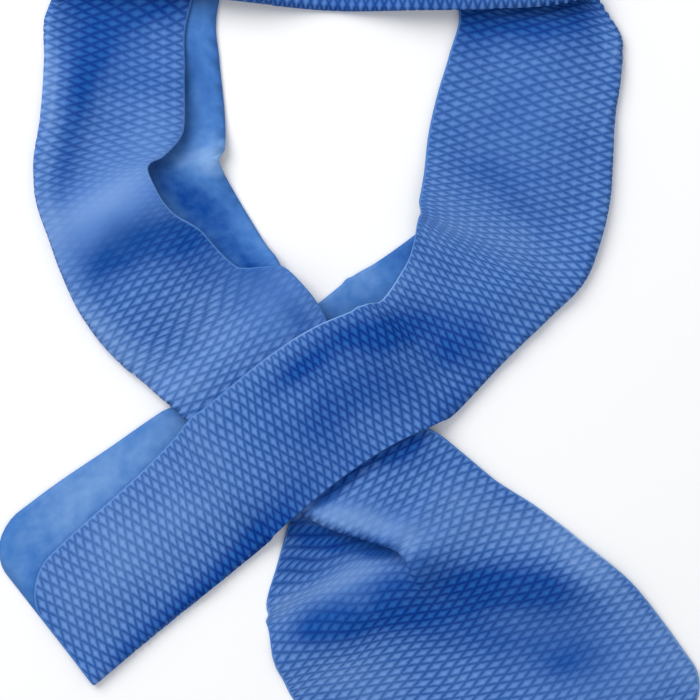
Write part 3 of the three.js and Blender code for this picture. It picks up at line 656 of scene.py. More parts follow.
class MeshNodes(NodeMaker):
    """The mesh nodes that the lattice needs."""

    def position(self):
        parts = self.node("ShaderNodeSeparateXYZ")
        self.put(self.node("GeometryNodeInputPosition").outputs[0], parts.inputs[0])
        return parts.outputs

    def moved(self, mesh, x, y, z):
        place = self.node("ShaderNodeCombineXYZ")
        for value, socket in zip((x, y, z), place.inputs):
            self.put(value, socket)
        made = self.node("GeometryNodeSetPosition")
        self.put(mesh, made.inputs["Geometry"])
        self.put(place.outputs[0], made.inputs["Position"])
        return made.outputs[0]

    def grid(self, size_x, size_y, count_x, count_y):
        made = self.node("GeometryNodeMeshGrid")
        for name, value in zip(("Size X", "Size Y", "Vertices X", "Vertices Y"),
                               (size_x, size_y, count_x, count_y)):
            self.put(value, made.inputs[name])
        return made.outputs["Mesh"]


# %% One diamond and its places
DIAMOND_GRID = 4
ON_BORDER = 0.4


def one_diamond(n, source):
    """A small grid turned into a rhomb, with its border sunk to the bottom of the groove."""
    x, y, _ = n.position()
    top = n.math("SUBTRACT", 0.5, source["Groove Share"])

    def level(value):
        on_rim = n.math("GREATER_THAN", n.math("ABSOLUTE", value), ON_BORDER)
        reach = n.math("ADD", top, n.math("MULTIPLY", on_rim, source["Groove Share"]))
        return n.math("MULTIPLY", n.math("SIGN", value), reach), on_rim

    p, p_rim = level(x)
    q, q_rim = level(y)
    drop = n.math("MULTIPLY", source["Relief Depth"], -1.0)
    sunk = n.math("MULTIPLY", n.math("MAXIMUM", p_rim, q_rim), drop)
    half = n.math("MULTIPLY", n.math("SUBTRACT", p, q), 0.5)
    other_half = n.math("MULTIPLY", n.math("ADD", p, q), 0.5)
    at_along = n.math("MULTIPLY", half, source["Diamond Along"])
    at_across = n.math("MULTIPLY", other_half, source["Diamond Across"])
    return n.moved(n.grid(1.0, 1.0, DIAMOND_GRID, DIAMOND_GRID), at_along, at_across, sunk)


def diamond_places(n, source):
    """The middles of the diamonds, with every other row shifted by half a diamond."""
    across = source["Diamond Across"]
    row_step = n.math("MULTIPLY", source["Diamond Along"], 0.5)
    length = n.math("MULTIPLY", row_step, n.math("SUBTRACT", source["Rows"], 1.0))
    width = n.math("MULTIPLY", across, n.math("SUBTRACT", source["Columns"], 1.0))
    x, y, _ = n.position()
    from_start = n.math("ADD", x, n.math("MULTIPLY", length, 0.5))
    odd_row = n.math("PINGPONG", n.math("DIVIDE", from_start, row_step), 1.0)
    stagger = n.math("MULTIPLY", odd_row, n.math("MULTIPLY", across, 0.5))
    net = n.grid(length, width, source["Rows"], source["Columns"])
    return n.moved(net, from_start, n.math("ADD", y, stagger), 0.0)


# %% Geometry Nodes tree for the diamond lattice
MERGE_SHARE = 0.02
TREE_INPUTS = [
    ("Diamond Across", "NodeSocketFloat", DIAMOND_ACROSS),
    ("Diamond Along", "NodeSocketFloat", DIAMOND_ALONG),
    ("Groove Share", "NodeSocketFloat", GROOVE_SHARE),
    ("Relief Depth", "NodeSocketFloat", RELIEF_DEPTH),
    ("Rows", "NodeSocketInt", 10),
    ("Columns", "NodeSocketInt", 10),
    ("Material", "NodeSocketMaterial", None),
]


def diamond_tree():
    tree = bpy.data.node_groups.new("diamond lattice", "GeometryNodeTree")
    for name, kind, value in TREE_INPUTS:
        socket = tree.interface.new_socket(name, in_out="INPUT", socket_type=kind)
        if value is not None:
            socket.default_value = value
    tree.interface.new_socket("Sheet", in_out="OUTPUT", socket_type="NodeSocketGeometry")
    n = MeshNodes(tree)
    source = n.node("NodeGroupInput").outputs
    copies = n.node("GeometryNodeInstanceOnPoints")
    n.put(diamond_places(n, source), copies.inputs["Points"])
    n.put(one_diamond(n, source), copies.inputs["Instance"])
    realize = n.node("GeometryNodeRealizeInstances")
    n.put(copies.outputs[0], realize.inputs[0])
    merge = n.node("GeometryNodeMergeByDistance")
    n.put(realize.outputs[0], merge.inputs["Geometry"])
    n.put(n.math("MULTIPLY", source["Diamond Along"], MERGE_SHARE), merge.inputs["Distance"])
    paint = n.node("GeometryNodeSetMaterial")
    n.put(merge.outputs[0], paint.inputs["Geometry"])
    n.put(source["Material"], paint.inputs["Material"])
    n.put(paint.outputs[0], n.node("NodeGroupOutput").inputs[0])
    return tree


print("inputs of the tree:", [name for name, _, _ in TREE_INPUTS])


# %% The flat sheet
def flat_sheet(material):
    """The embossed sheet as a plain mesh, a little larger than the strip on all sides."""
    sheet = bpy.data.objects.new("flat sheet", bpy.data.meshes.new("flat sheet"))
    bpy.context.scene.collection.objects.link(sheet)
    tree = diamond_tree()
    modifier = sheet.modifiers.new("diamonds", "NODES")
    modifier.node_group = tree
    values = {
        "Rows": int(BAND_LENGTH / DIAMOND_ALONG * 2) + 3,
        "Columns": int(BAND_WIDTH / DIAMOND_ACROSS) + 3,
        "Material": material,
    }
    for item in tree.interface.items_tree:
        if item.in_out == "INPUT" and item.name in values:
            modifier[item.identifier] = values[item.name]
    bpy.context.view_layer.update()
    evaluated = sheet.evaluated_get(bpy.context.evaluated_depsgraph_get())
    mesh = bpy.data.meshes.new_from_object(evaluated)
    sheet.modifiers.remove(modifier)
    bpy.data.objects.remove(sheet)
    bpy.data.node_groups.remove(tree)
    return mesh


# %% [markdown]
# ## The three finishes
#
# The outer face is a soft, damp-looking blue with lighter diamond tops and darker grooves. Its
# lattice is worked out from the same two sizes as the relief, read on the strip's own UV map, so
# that colour and relief stay in step round every fold. Two attributes of the mesh say where the
# blue is painted deeper for shade and paler for light, and where the emboss is gone. The inner face
# has no emboss, only slow clouds and the same painted shade and light. The cut edge gets a painted
# highlight where it curls up to the light.

# %% Finish helpers
class Finish(NodeMaker):
    """A material and short ways to add nodes to it."""

    def __init__(self, name):
        self.material = bpy.data.materials.new(name)
        self.material.use_nodes = True
        super().__init__(self.material.node_tree)
        self.shader = self.tree.nodes["Principled BSDF"]

    def noise(self, place, scale, detail):
        made = self.node("ShaderNodeTexNoise")
        self.put(place, made.inputs["Vector"])
        made.inputs["Scale"].default_value = scale
        made.inputs["Detail"].default_value = detail
        return made.outputs["Fac"]

    def mix(self, share, a, b):
        made = self.node("ShaderNodeMix", data_type="RGBA")
        self.put(share, made.inputs["Factor"])
        self.put(a, made.inputs[6])
        self.put(b, made.inputs[7])
        return made.outputs[2]

    def spread(self, value, low, high):
        """value stretched so that low gives 0 and high gives 1."""
        made = self.node("ShaderNodeMapRange", interpolation_type="SMOOTHSTEP")
        self.put(value, made.inputs["Value"])
        made.inputs["From Min"].default_value = low
        made.inputs["From Max"].default_value = high
        return made.outputs["Result"]

    def ramp(self, value, low, middle, high):
        """A colour that goes from low through middle to high as value goes from 0 to 1."""
        made = self.node("ShaderNodeValToRGB")
        self.put(value, made.inputs[0])
        made.color_ramp.elements.new(0.5)
        for element, color in zip(made.color_ramp.elements, (low, middle, high)):
            element.color = color
        return made.outputs["Color"]

    def bump(self, height, strength, distance):
        made = self.node("ShaderNodeBump")
        made.inputs["Strength"].default_value = strength
        made.inputs["Distance"].default_value = distance
        self.put(height, made.inputs["Height"])
        return made.outputs["Normal"]

    def place(self):
        return self.node("ShaderNodeUVMap", uv_map="strip").outputs["UV"]

    def attribute(self, name):
        return self.node("ShaderNodeAttribute", attribute_name=name).outputs["Fac"]

    def wear(self, roughness, gloss, color):
        """The values that are the same all over the finish, and its colour."""
        self.shader.inputs["Roughness"].default_value = roughness
        self.shader.inputs["Specular IOR Level"].default_value = gloss
        self.put(color, self.shader.inputs["Base Color"])


# %% The blues of the cloth, from painted shade to painted light
# Each ramp runs from a deep blue used as painted shade, through the cloth's own blue, to a pale blue
# used as painted light. Random mottle and clouds move along the same ramps.
DEEP_SHADED_GROOVE = (0.001, 0.026, 0.205, 1)
MID_GROOVE = (0.018, 0.082, 0.305, 1)
PALE_LIT_GROOVE = (0.080, 0.185, 0.455, 1)
DEEP_SHADED_TOP = (0.018, 0.112, 0.405, 1)
MID_TOP = (0.125, 0.260, 0.600, 1)
PALE_LIT_TOP = (0.190, 0.325, 0.625, 1)
DEEP_SHADED_INNER = (0.003, 0.056, 0.290, 1)
MID_INNER = (0.060, 0.185, 0.495, 1)
PALE_LIT_INNER = (0.190, 0.350, 0.650, 1)
EDGE_BLUE = (0.040, 0.150, 0.440, 1)
PALE_EDGE = (0.090, 0.220, 0.530, 1)
# Painted highlight of the cut edge where it curls up to the light.
EDGE_HIGHLIGHT = (0.330, 0.500, 0.800, 1)
print("red, green and blue of a diamond's top:", MID_TOP[:3])

# %% Embossed face
RAGGED_BORDER = 0.14
BORDER_FROM = -0.04
BORDER_TO = 0.44
MOTTLE = 0.8
FADED_LIGHT = 0.6
TOP_HEIGHT = 0.4
PORE_HEIGHT = 0.35


def embossed_finish():
    f = Finish("embossed sponge")
    place = f.place()
    parts = f.node("ShaderNodeSeparateXYZ")
    f.put(place, parts.inputs[0])
    s = f.math("DIVIDE", parts.outputs[0], DIAMOND_ALONG)
    t = f.math("DIVIDE", parts.outputs[1], DIAMOND_ACROSS)
    to_border = [
        f.math("PINGPONG", f.math("ADD", f.math(way, t, s), 0.5), 0.5) for way in ("ADD", "SUBTRACT")
    ]
    nearest = f.math("MINIMUM", *to_border)
    fine = f.noise(place, scale=1400, detail=2)
    uneven = f.math("MULTIPLY", f.math("SUBTRACT", fine, 0.5), RAGGED_BORDER)
    on_top = f.spread(f.math("ADD", nearest, uneven), BORDER_FROM, BORDER_TO)
    faded = f.attribute("fade")
    mottle = f.math("SUBTRACT", f.noise(place, scale=60, detail=5), 0.5)
    # Painted shade and light from the mesh, plus random mottle.
    depth = f.math("ADD", f.attribute("shade_and_light"), f.math("MULTIPLY", mottle, MOTTLE))
    light = f.math("SUBTRACT", 0.5, f.math("MULTIPLY", depth, 0.5))
    groove = f.ramp(light, DEEP_SHADED_GROOVE, MID_GROOVE, PALE_LIT_GROOVE)
    top = f.ramp(light, DEEP_SHADED_TOP, MID_TOP, PALE_LIT_TOP)
    raised = f.math("MULTIPLY", on_top, f.math("SUBTRACT", 1.0, faded))
    share = f.math("ADD", raised, f.math("MULTIPLY", faded, FADED_LIGHT))
    f.wear(roughness=0.55, gloss=0.03, color=f.mix(share, groove, top))
    pores = f.math("MULTIPLY", fine, PORE_HEIGHT)
    height = f.math("ADD", f.math("MULTIPLY", on_top, TOP_HEIGHT), pores)
    f.put(f.bump(height, strength=0.25, distance=0.0002), f.shader.inputs["Normal"])
    return f.material


# %% Smooth face and cut edge
SLOW_CLOUD = 2.2
SMALL_CLOUD = 0.9
CURL_HIGHLIGHT = 0.8


def smooth_finish():
    f = Finish("smooth sponge")
    place = f.place()
    slow = f.math("SUBTRACT", f.noise(place, scale=28, detail=5), 0.5)
    small = f.math("SUBTRACT", f.noise(place, scale=210, detail=5), 0.5)
    slow_share = f.math("MULTIPLY", slow, SLOW_CLOUD)
    cloud = f.math("ADD", slow_share, f.math("MULTIPLY", small, SMALL_CLOUD))
    # Painted shade and light from the mesh, plus the slow random clouds of the sponge.
    depth = f.math("ADD", f.attribute("shade_and_light"), cloud)
    light = f.math("SUBTRACT", 0.5, f.math("MULTIPLY", depth, 0.5))
    f.wear(roughness=0.60, gloss=0.05, color=f.ramp(light, DEEP_SHADED_INNER, MID_INNER, PALE_LIT_INNER))
    pores = f.noise(place, scale=900, detail=4)
    f.put(f.bump(pores, strength=0.25, distance=0.00025), f.shader.inputs["Normal"])
    return f.material


def edge_finish():
    f = Finish("cut sponge edge")
    place = f.place()
    flat_edge = f.mix(f.noise(place, scale=700, detail=3), EDGE_BLUE, PALE_EDGE)
    # Painted highlight where the cut edge curls up to the light.
    highlight_share = f.math("MULTIPLY", f.attribute("shade_and_light"), -CURL_HIGHLIGHT, clamp=True)
    f.wear(roughness=0.70, gloss=0.05, color=f.mix(highlight_share, flat_edge, EDGE_HIGHLIGHT))
    pores = f.noise(place, scale=1500, detail=3)
    f.put(f.bump(pores, strength=0.5, distance=0.0003), f.shader.inputs["Normal"])
    return f.material


finishes = [embossed_finish(), smooth_finish(), edge_finish()]
print("finishes:", [material.name for material in finishes])

# %% [markdown]
# ## Cutting the strip out of the sheet
#
# The sheet is cut with straight cuts: two long sides, two ends, and a fan of small cuts for each
# rounded corner. The embossed face is cut a little inside the outline, because the pressed edge
# slopes. More cuts run along the fold, because a fold that passes through the middle of faces
# shows as a saw-toothed line. A last cut runs along the slit, so that it has an edge to open on.

# %% Lines of the slit and the fold
SLIT_LINE = float(np.mean(section_at(np.linspace(along[SLIT_START], along[SLIT_END], 9))["fold"]))
SLIT_EASE = 0.3 * BAND_WIDTH


def slit_share(s):
    """1 beside the slit, falling to 0 at SLIT_EASE past its two ends."""
    before = smooth_step((s - along[SLIT_START]) / SLIT_EASE + 1)
    return before * smooth_step((along[SLIT_END] - s) / SLIT_EASE + 1)


def fold_line(s):
    """Where the fold runs across the flat sheet."""
    fold = section_at(s)["fold"]
    return fold + (SLIT_LINE - fold) * slit_share(s)


print("the slit lies", round(SLIT_LINE * 1000, 1), "mm off the middle of the strip")

# %% Cuts of the outline
CORNER_CUTS = 9


def outline_cuts():
    """Point and outward direction of every straight cut, in the plane of the sheet."""
    cuts = []
    for low_s, side in ((0, -1), (BAND_LENGTH, 1)):
        cuts.append(((low_s - side * RIM_WIDTH, 0), (side, 0)))
        cuts.append(((0, side * (HALF_WIDTH - RIM_WIDTH)), (0, side)))
    for end_s, side_s in ((CORNER_RADIUS, -1), (BAND_LENGTH - CORNER_RADIUS, 1)):
        for side_t in (-1, 1):
            for k in range(1, CORNER_CUTS):
                angle = np.pi / 2 * k / CORNER_CUTS
                way = np.array([side_s * np.cos(angle), side_t * np.sin(angle)])
                middle = np.array([end_s, side_t * (HALF_WIDTH - CORNER_RADIUS)])
                cuts.append((middle + way * (CORNER_RADIUS - RIM_WIDTH), way))
    return cuts


print(len(outline_cuts()), "cuts round the outline")


# %% Cut the sheet
FOLD_CUTS = 80
SLIT_MARGIN = 2 * DIAMOND_ALONG
SNAP = 1e-7
FOLD_SNAP = 1e-5


def pairs(values):
    return zip(values[:-1].tolist(), values[1:].tolist())


def faces_near(bm, s0, s1, line_t):
    """The faces between two lengths that lie near a line along the sheet, with their borders."""
    found = set()
    for face in bm.faces:
        middle = face.calc_center_median()
        if s0 <= middle.x < s1 and abs(middle.y - line_t) < DIAMOND_ACROSS:
            found.update((*face.verts, *face.edges, face))
    return list(found)


def cut_sheet(mesh):
    """Cuts the strip out, and returns its places on the sheet and its triangles."""
    bm = bmesh.new()
    bm.from_mesh(mesh)
    for point, way in outline_cuts():
        bmesh.ops.bisect_plane(
            bm, geom=bm.verts[:] + bm.edges[:] + bm.faces[:], dist=SNAP,
            plane_co=(*point, 0), plane_no=(*way, 0), clear_outer=True,
        )
    stations = np.linspace(0, BAND_LENGTH, FOLD_CUTS + 1)
    for (s0, s1), (t0, t1) in zip(pairs(stations), pairs(fold_line(stations))):
        near = faces_near(bm, s0, s1, (t0 + t1) / 2)
        bmesh.ops.bisect_plane(
            bm, geom=near, dist=FOLD_SNAP, plane_co=(s0, t0, 0), plane_no=(t0 - t1, s1 - s0, 0)
        )
    slit = faces_near(bm, along[SLIT_START] - SLIT_MARGIN, along[SLIT_END] + SLIT_MARGIN, SLIT_LINE)
    bmesh.ops.bisect_plane(
        bm, geom=slit, dist=SNAP, plane_co=(0, SLIT_LINE, 0), plane_no=(0, 1, 0)
    )
    bmesh.ops.triangulate(bm, faces=bm.faces[:], quad_method="SHORT_EDGE")
    bm.verts.index_update()
    verts = np.array([vert.co for vert in bm.verts])
    faces = np.array([[vert.index for vert in face.verts] for face in bm.faces])
    bm.free()
    return verts, faces


sheet_mesh = flat_sheet(finishes[0])
outer, outer_faces = cut_sheet(sheet_mesh)
print("embossed sheet:", len(outer), "places,", len(outer_faces), "triangles")

# %% [markdown]
# ## Opening the slit
#
# The slit is cut by giving the faces on one side of the line their own copies of its places. The
# copies are then moved apart by the slope of the cut. The line follows the fold, which wanders a
# little across the strip, so the sheet is eased sideways near the slit to meet it.

# %% Slit
ON_LINE = 1e-6
EASE_REACH = 0.5 * HALF_WIDTH


def on_strip(s, line_t):
    """Eases a place sideways near the slit, so that the slit's line runs along the fold."""
    beside = smooth_step(1 - np.abs((line_t - SLIT_LINE) / EASE_REACH))
    return line_t + (section_at(s)["fold"] - SLIT_LINE) * beside * slit_share(s)


def slit_places(points):
    on_line = np.abs(points[:, 1] - SLIT_LINE) < ON_LINE
    return on_line & (points[:, 0] > along[SLIT_START]) & (points[:, 0] < along[SLIT_END])


def opened_slit(points, faces):
    """Copies the places on the slit for the faces of the back layer."""
    on_slit = slit_places(points)
    copies = np.full(len(points), -1)
    copies[on_slit] = len(points) + np.arange(on_slit.sum())
    behind = points[faces][:, :, 1].mean(1) < SLIT_LINE
    faces = np.where(behind[:, None] & on_slit[faces], copies[faces], faces)
    side = np.r_[np.ones(len(points)), -np.ones(on_slit.sum())]
    return np.vstack([points, points[on_slit]]), faces, side, copies


outer, outer_faces, outer_side, outer_copies = opened_slit(outer, outer_faces)
print("places doubled on the slit:", int((outer_side < 0).sum()))

# %% [markdown]
# ## The smooth face
#
# The inner face needs no diamonds, so it is a lighter net: rows along the strip that are closer
# where the cloth bends, and columns that crowd together at the fold. A Delaunay triangulation
# ties this net to the places on the rim of the embossed face, so that the two faces can be
# walled together without a gap.

# %% Rim of the embossed face
edges = np.vstack([outer_faces[:, [0, 1]], outer_faces[:, [1, 2]], outer_faces[:, [2, 0]]])
known = set(map(tuple, edges.tolist()))
rim_edges = np.array([edge for edge in known if edge[::-1] not in known])
rim = np.unique(rim_edges)


def outward(points):
    """The direction out of the strip's outline, and whether a place lies on the outline."""
    middle_s = np.clip(points[:, 0], CORNER_RADIUS, BAND_LENGTH - CORNER_RADIUS)
    middle_t = np.clip(points[:, 1], CORNER_RADIUS - HALF_WIDTH, HALF_WIDTH - CORNER_RADIUS)
    way = points[:, :2] - np.stack([middle_s, middle_t], 1)
    reach = np.linalg.norm(way, axis=1)
    on_outline = reach > CORNER_RADIUS - 2 * RIM_WIDTH
    return way / np.maximum(reach, TINY)[:, None] * on_outline[:, None], on_outline


rim_way, rim_on_outline = outward(outer[rim])
rim_place = outer[rim, :2] + rim_way * RIM_WIDTH
print("places on the rim:", len(rim), "of them on the slit:", int((~rim_on_outline).sum()))


# %% Net of the smooth face
FRONT_NET = np.array([0.012, 0.024, 0.038, 0.055, 0.08, 0.12, 0.17, 0.23, 0.30, 0.37,
                      0.44, 0.51, 0.58, 0.65, 0.72, 0.79, 0.86, 0.93, 0.975])
BACK_NET = np.array([0.012, 0.024, 0.038, 0.055, 0.08, 0.12, 0.17, 0.23, 0.29, 0.35, 0.42,
                     0.46, 0.50, 0.54, 0.58, 0.62, 0.67, 0.73, 0.80, 0.87, 0.93, 0.975])
LAP_SHARES = (0.42, 0.62)
LAP_REACH = 0.25 * HALF_WIDTH
ROW_STEP = 0.0055
FINE_ROW_STEP = 0.0024
SLIT_CLEARANCE = 0.0003
SLIT_END_CLEARANCE = 0.002


def slant_at(s):
    """How the rows slant near a flipped corner, to lie along its crease."""
    slant = 0
    for k, corner in enumerate((RIGHT_CORNER, LEFT_CORNER)):
        turn = laid_rows["front_turn"][corner] - flip_turn[k]
        slant = slant + np.tan(turn) * smooth_step(1 - abs(s - along[corner]) / SLANT_REACH)
    return slant


def net_rows():
    rows = [ROW_STEP]
    while rows[-1] < BAND_LENGTH - ROW_STEP:
        s = rows[-1]
        at_corner = min(abs(s - along[RIGHT_CORNER]), abs(s - along[LEFT_CORNER])) < 4 * FLIP_ROLL
        at_pleat = along[CROSSING] < s < along[OPEN_TAIL]
        at_slit = along[SLIT_START] - ROW_STEP < s < along[SLIT_END] + ROW_STEP
        rows.append(s + (FINE_ROW_STEP if at_corner or at_pleat or at_slit else ROW_STEP))
    return np.array(rows[:-1])


def followed(c, share):
    """Moves the columns of the back layer so that they follow the hidden lap."""
    start, end = LAP_SHARES
    quarter = (1 - c["cut"]) * (c["turn_over"] / 2) * c["roll"]
    hem = (quarter + c["back"]) / c["back_cloth"]
    out = hem + c["turn_over"] * c["lap"] / c["back_cloth"]
    in_lap = hem + (share - start) / (end - start) * (out - hem)
    beyond = out + (share - end) / (1 - end) * (1 - out)
    place = np.where(share > end, beyond, np.where(share > start, in_lap, share / start * hem))
    follow = smooth_step(c["open"] / LAP_REACH) * smooth_step(2 * c["over"])
    return share + (place - share) * follow


def net_places():
    rows = net_rows()
    c = section_at(rows)
    slant = slant_at(rows)
    columns = [c["fold"]]
    columns += [c["fold"] + share * (HALF_WIDTH - c["fold"]) for share in FRONT_NET]
    columns += [c["fold"] - followed(c, share) * (HALF_WIDTH + c["fold"]) for share in BACK_NET]
    t = np.array(columns)
    s = rows + slant * np.abs(t - c["fold"])
    return np.stack([s.ravel(), t.ravel()], 1)


def clear_of_rim(points):
    """The places of the net that lie well inside the outline and off the slit."""
    s, t = points[:, 0], points[:, 1]
    inside = (s > 2 * RIM_WIDTH) & (s < BAND_LENGTH - 2 * RIM_WIDTH)
    inside &= np.abs(t) < HALF_WIDTH - 2 * RIM_WIDTH
    inside &= ~outward(points)[1]
    near_slit = np.abs(t - on_strip(s, np.full(len(s), SLIT_LINE))) < SLIT_CLEARANCE
    near_slit &= s > along[SLIT_START] - SLIT_END_CLEARANCE
    near_slit &= s < along[SLIT_END] + SLIT_END_CLEARANCE
    return points[inside & ~near_slit]


net = clear_of_rim(net_places())
print("net of the smooth face:", len(net), "places")


# %% Triangulating the smooth face
def smooth_face(rim_place, net):
    """Triangles of the smooth face. The rim comes first, then the net."""
    spots, first_at, number = np.unique(
        np.round(rim_place, 8), axis=0, return_index=True, return_inverse=True
    )
    number = number.ravel()
    spot_of = dict(zip(rim.tolist(), number.tolist()))
    borders = {tuple(sorted((spot_of[a], spot_of[b]))) for a, b in rim_edges.tolist()}
    points = np.vstack([spots, net])
    _, _, triangles, back_to, _, _ = delaunay_2d_cdt(
        [Vector(point) for point in points.tolist()], list(borders), [], 1, TINY
    )
    source = np.array([origin[0] if origin else -1 for origin in back_to])
    triangles = source[np.array(triangles)]
    print("new places made by the triangulation:", int((source < 0).sum()))
    return points, triangles, number


inner_points, inner_faces, inner_number = smooth_face(rim_place, net)
first, second, third = (inner_points[inner_faces[:, k]] for k in range(3))
one_side, other_side = second - first, third - first
turned = one_side[:, 0] * other_side[:, 1] - one_side[:, 1] * other_side[:, 0] < 0
inner_faces[turned] = inner_faces[turned][:, ::-1]
inner, inner_faces, inner_side, inner_copies = opened_slit(inner_points, inner_faces)
print("smooth face:", len(inner), "places,", len(inner_faces), "triangles")

# %% [markdown]
# ## Laying the strip
#
# Now every place of both faces goes through the functions above. The embossed face is lifted half
# a thickness along the cloth's normal, less the depth of its groove, and the smooth face is
# dropped by half a thickness. Between them runs a sloping wall of two narrow bands: the cut edge.
#
# Two things keep it from looking like a printed plan. Slow waves slide the diamonds a little along
# the cloth, as handling does. Near the fold the relief is pressed flat, so the silhouette of the
# fold is smooth.

# %% Waves
# length along the strip, length across it, phase
WAVES = [(0.061, 0.047, 0.3), (-0.037, 0.029, 1.9), (0.023, 0.031, 4.1), (0.019, -0.023, 5.2)]
WAVE_STRETCH = 0.005
CALM_RIM = 0.010


def stretched(s, t, line_t):
    """Slides places along the cloth, because pressed and pulled sponge is never quite even."""
    calm = smooth_step((HALF_WIDTH - np.abs(t)) / CALM_RIM) * smooth_step(s / CALM_RIM)
    calm = calm * smooth_step((BAND_LENGTH - s) / CALM_RIM)
    calm = calm * smooth_step(np.abs(line_t - fold_line(s)) / CALM_RIM)
    slid_s, slid_t = s, t
    for along_wave, across_wave, phase in WAVES:
        angle = 2 * np.pi * (s / along_wave + t / across_wave) + phase
        slid_s = slid_s + calm * WAVE_STRETCH * abs(along_wave) * np.sin(angle)
        slid_t = slid_t + calm * WAVE_STRETCH * abs(across_wave) * np.cos(angle + phase)
    return slid_s, slid_t


print("the waves are", [round(abs(wave[0]) * 1000) for wave in WAVES], "mm long")


# %% Lay flat places on the table
def lay(points, side, lift, inset=0):
    """Lays flat places on the table, lifted along the normal of the cloth."""
    s = points[:, 0]
    on_line = np.abs(points[:, 1] - SLIT_LINE) < ON_LINE
    t = on_strip(s, points[:, 1]) + side * on_line * inset
    slid_s, slid_t = stretched(s, t, points[:, 1])
    place = laid_point(slid_s, slid_t, side)
    return place + laid_normal(slid_s, slid_t, side) * lift[:, None], s, t


def slit_inset(points):
    """How far the lip of the slit slopes back, nothing at its two ends."""
    reach = np.minimum(points[:, 0] - along[SLIT_START], along[SLIT_END] - points[:, 0])
    return np.where(slit_places(points), RIM_WIDTH * smooth_step(reach / SLIT_RAMP), 0)


def patches(rows, s, t, side):
    """The sum of the soft patches of a table at places on the embossed face."""
    point = laid_point(s, t, side)
    c = section_at(s)
    found = [humps(rows, layer, c, point[:, 0], point[:, 1]) for layer in ("front", "back")]
    return np.where(t > c["fold"], *found)


# %% Lay both faces
FOLD_PRESS = 0.006
outer_t = on_strip(outer[:, 0], outer[:, 1])
fade = np.clip(patches(FADES, outer[:, 0], outer_t, outer_side), 0, 1)
# Painted shade and painted highlights of the embossed face, read from their table at each place.
shade_and_light = np.clip(patches(PAINTED_SHADE_AND_LIGHT, outer[:, 0], outer_t, outer_side), -1, 1)
off_fold = smooth_step(np.abs(outer_t - section_at(outer[:, 0])["fold"]) / FOLD_PRESS)
outer_lift = THICKNESS / 2 + outer[:, 2] * (1 - fade) * off_fold
outer_laid, outer_s, outer_t = lay(outer, outer_side, outer_lift, slit_inset(outer))
inner_lift = np.full(len(inner), -THICKNESS / 2)
inner_laid, inner_s, inner_t = lay(inner, inner_side, inner_lift)
# Painted shade and light of the smooth face.
inner_shade_and_light = humps(PAINTED_SHADE_AND_LIGHT, "inside", section_at(inner_s), inner_laid[:, 0], inner_laid[:, 1])
print("lowest and highest place in mm:", np.round(outer_laid.min(0) * 1000, 1),
      np.round(outer_laid.max(0) * 1000, 1))

# %% Wall the rim
EDGE_REACH = 0.85
EDGE_LIFT = 0.05

rim_index = {place: k for k, place in enumerate(rim.tolist())}
middle_points = outer[rim, :2] + rim_way * RIM_WIDTH * EDGE_REACH
middle_lift = np.full(len(rim), EDGE_LIFT * THICKNESS)
middle_laid, middle_s, middle_t = lay(
    middle_points, outer_side[rim], middle_lift, slit_inset(outer[rim]) * (1 - EDGE_REACH)
)
behind = outer_side[rim] < 0
inner_of_rim = np.where(behind, inner_copies[inner_number], inner_number)

outer_count, middle_count = len(outer), len(rim)
wall = []
for p, q in rim_edges.tolist():
    i, j = rim_index[p], rim_index[q]
    mid_p, mid_q = outer_count + i, outer_count + j
    low_p = outer_count + middle_count + inner_of_rim[i]
    low_q = outer_count + middle_count + inner_of_rim[j]
    wall += [(p, mid_p, mid_q), (p, mid_q, q), (mid_p, low_p, low_q), (mid_p, low_q, mid_q)]
print("wall of the cut edge:", len(wall), "triangles")

# %% [markdown]
# ## One mesh, set in the frame
#
# The three parts share their rims, so together they close into one body. The strip's own s and t
# are kept as a UV map for the finishes, and the painted shade and light and the faded places as
# two attributes.
# The mesh is then moved so that its box has the same middle as the imported node, and stands on
# the same table.

# %% Build the mesh
EMBOSSED, SMOOTH, EDGE = range(3)
verts = np.vstack([outer_laid, middle_laid, inner_laid])
strip_s = np.r_[outer_s, middle_s, inner_s]
strip_t = np.r_[outer_t, middle_t, inner_t]
faces = np.vstack([
    outer_faces,
    np.array(wall),
    (inner_faces + outer_count + middle_count)[:, ::-1],
])
finish_of = np.repeat([EMBOSSED, EDGE, SMOOTH], [len(outer_faces), len(wall), len(inner_faces)])

low, high = verts.min(0), verts.max(0)
shift = (node_low + node_high) / 2 - (low + high) / 2
shift[2] = node_low[2] - low[2]
verts = verts + shift

mesh = bpy.data.meshes.new("neck wrap")
mesh.from_pydata(verts.tolist(), [], faces.tolist())
for material in finishes:
    mesh.materials.append(material)
mesh.polygons.foreach_set("material_index", finish_of.astype(np.int32))
mesh.shade_smooth()
corner = np.empty(len(mesh.loops), np.int32)
mesh.loops.foreach_get("vertex_index", corner)
strip_map = mesh.uv_layers.new(name="strip")
strip_map.data.foreach_set("uv", np.stack([strip_s, strip_t], 1)[corner].ravel())
fade_values = np.r_[fade, np.zeros(len(middle_laid) + len(inner_laid))]
# Painted shade and light of the cut edge, of which its finish uses only the highlights.
rim_shade_and_light = humps(PAINTED_SHADE_AND_LIGHT, "rim", section_at(middle_s), middle_laid[:, 0], middle_laid[:, 1])
shade_and_light_values = np.clip(np.r_[shade_and_light, rim_shade_and_light, inner_shade_and_light], -1, 1)
for name, values in (("fade", fade_values), ("shade_and_light", shade_and_light_values)):
    mesh.attributes.new(name, "FLOAT", "POINT").data.foreach_set("value", values)
band = bpy.data.objects.new("neck_wrap", mesh)
bpy.context.scene.collection.objects.link(band)

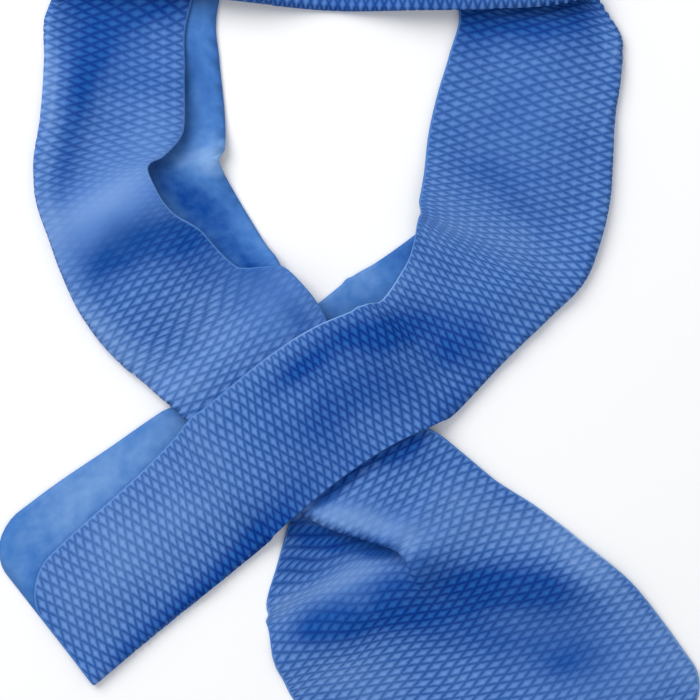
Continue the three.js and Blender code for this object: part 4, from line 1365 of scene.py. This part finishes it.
check = bmesh.new()
check.from_mesh(mesh)
open_edges = sum(not edge.is_manifold for edge in check.edges)
check.free()
print("triangles:", len(faces), "open edges:", open_edges, "shift in mm:", np.round(shift * 1000, 2))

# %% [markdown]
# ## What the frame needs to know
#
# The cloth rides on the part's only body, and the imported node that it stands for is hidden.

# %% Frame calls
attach(band, "root")
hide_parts(NODE)

# %% [markdown]
# ## Table, light and camera
#
# The photo looks straight down on the wrap in soft light. A large lamp high on the left gives the
# folds a light and a dark side, and a second, weaker one keeps the shadows pale.

# %% Table
TABLE_SIZE = 3.0
TABLE_CORNERS = [(-0.5, -0.5), (0.5, -0.5), (0.5, 0.5), (-0.5, 0.5)]
table_mesh = bpy.data.meshes.new("table")
table_places = [(x * TABLE_SIZE, y * TABLE_SIZE, 0) for x, y in TABLE_CORNERS]
table_mesh.from_pydata(table_places, [], [(0, 1, 2, 3)])
table_top = bpy.data.objects.new("table", table_mesh)
bpy.context.scene.collection.objects.link(table_top)
paper = bpy.data.materials.new("white paper")
paper.use_nodes = True
paper_shader = paper.node_tree.nodes["Principled BSDF"]
paper_shader.inputs["Base Color"].default_value = (0.9, 0.9, 0.9, 1)
paper_shader.inputs["Roughness"].default_value = 0.9
table_mesh.materials.append(paper)
print("the table is", TABLE_SIZE, "m wide")


# %% Lamps
def lamp(name, place, size, power):
    light = bpy.data.lights.new(name, "AREA")
    light.shape = "DISK"
    light.size = size
    light.energy = power
    holder = bpy.data.objects.new(name, light)
    holder.location = place
    holder.rotation_euler = (Vector((0, 0, 0)) - Vector(place)).to_track_quat("-Z", "Y").to_euler()
    bpy.context.scene.collection.objects.link(holder)


lamp("window", place=(-0.70, 0.75, 1.0), size=1.1, power=15)
lamp("fill", place=(0.6, -0.6, 1.6), size=1.2, power=2)
world = bpy.data.worlds.new("room")
bpy.context.scene.world = world
world.use_nodes = True
room_light = world.node_tree.nodes["Background"].inputs
room_light["Color"].default_value = (0.95, 0.97, 1, 1)
room_light["Strength"].default_value = 0.65
bpy.context.scene.view_settings.view_transform = "Standard"
print("lamps:", [thing.name for thing in bpy.data.lights])

# %% Camera
CAMERA_HEIGHT = 1.4
SENSOR = 36.0
camera_data = bpy.data.cameras.new("camera")
camera_data.sensor_width = SENSOR
camera_data.lens = SENSOR * CAMERA_HEIGHT / LAY_SPAN
camera = bpy.data.objects.new("camera", camera_data)
camera.location = (float(shift[0]), float(shift[1]), CAMERA_HEIGHT)
bpy.context.scene.collection.objects.link(camera)
bpy.context.scene.camera = camera
print("the camera looks straight down from", CAMERA_HEIGHT, "m, lens", round(camera_data.lens, 1), "mm")
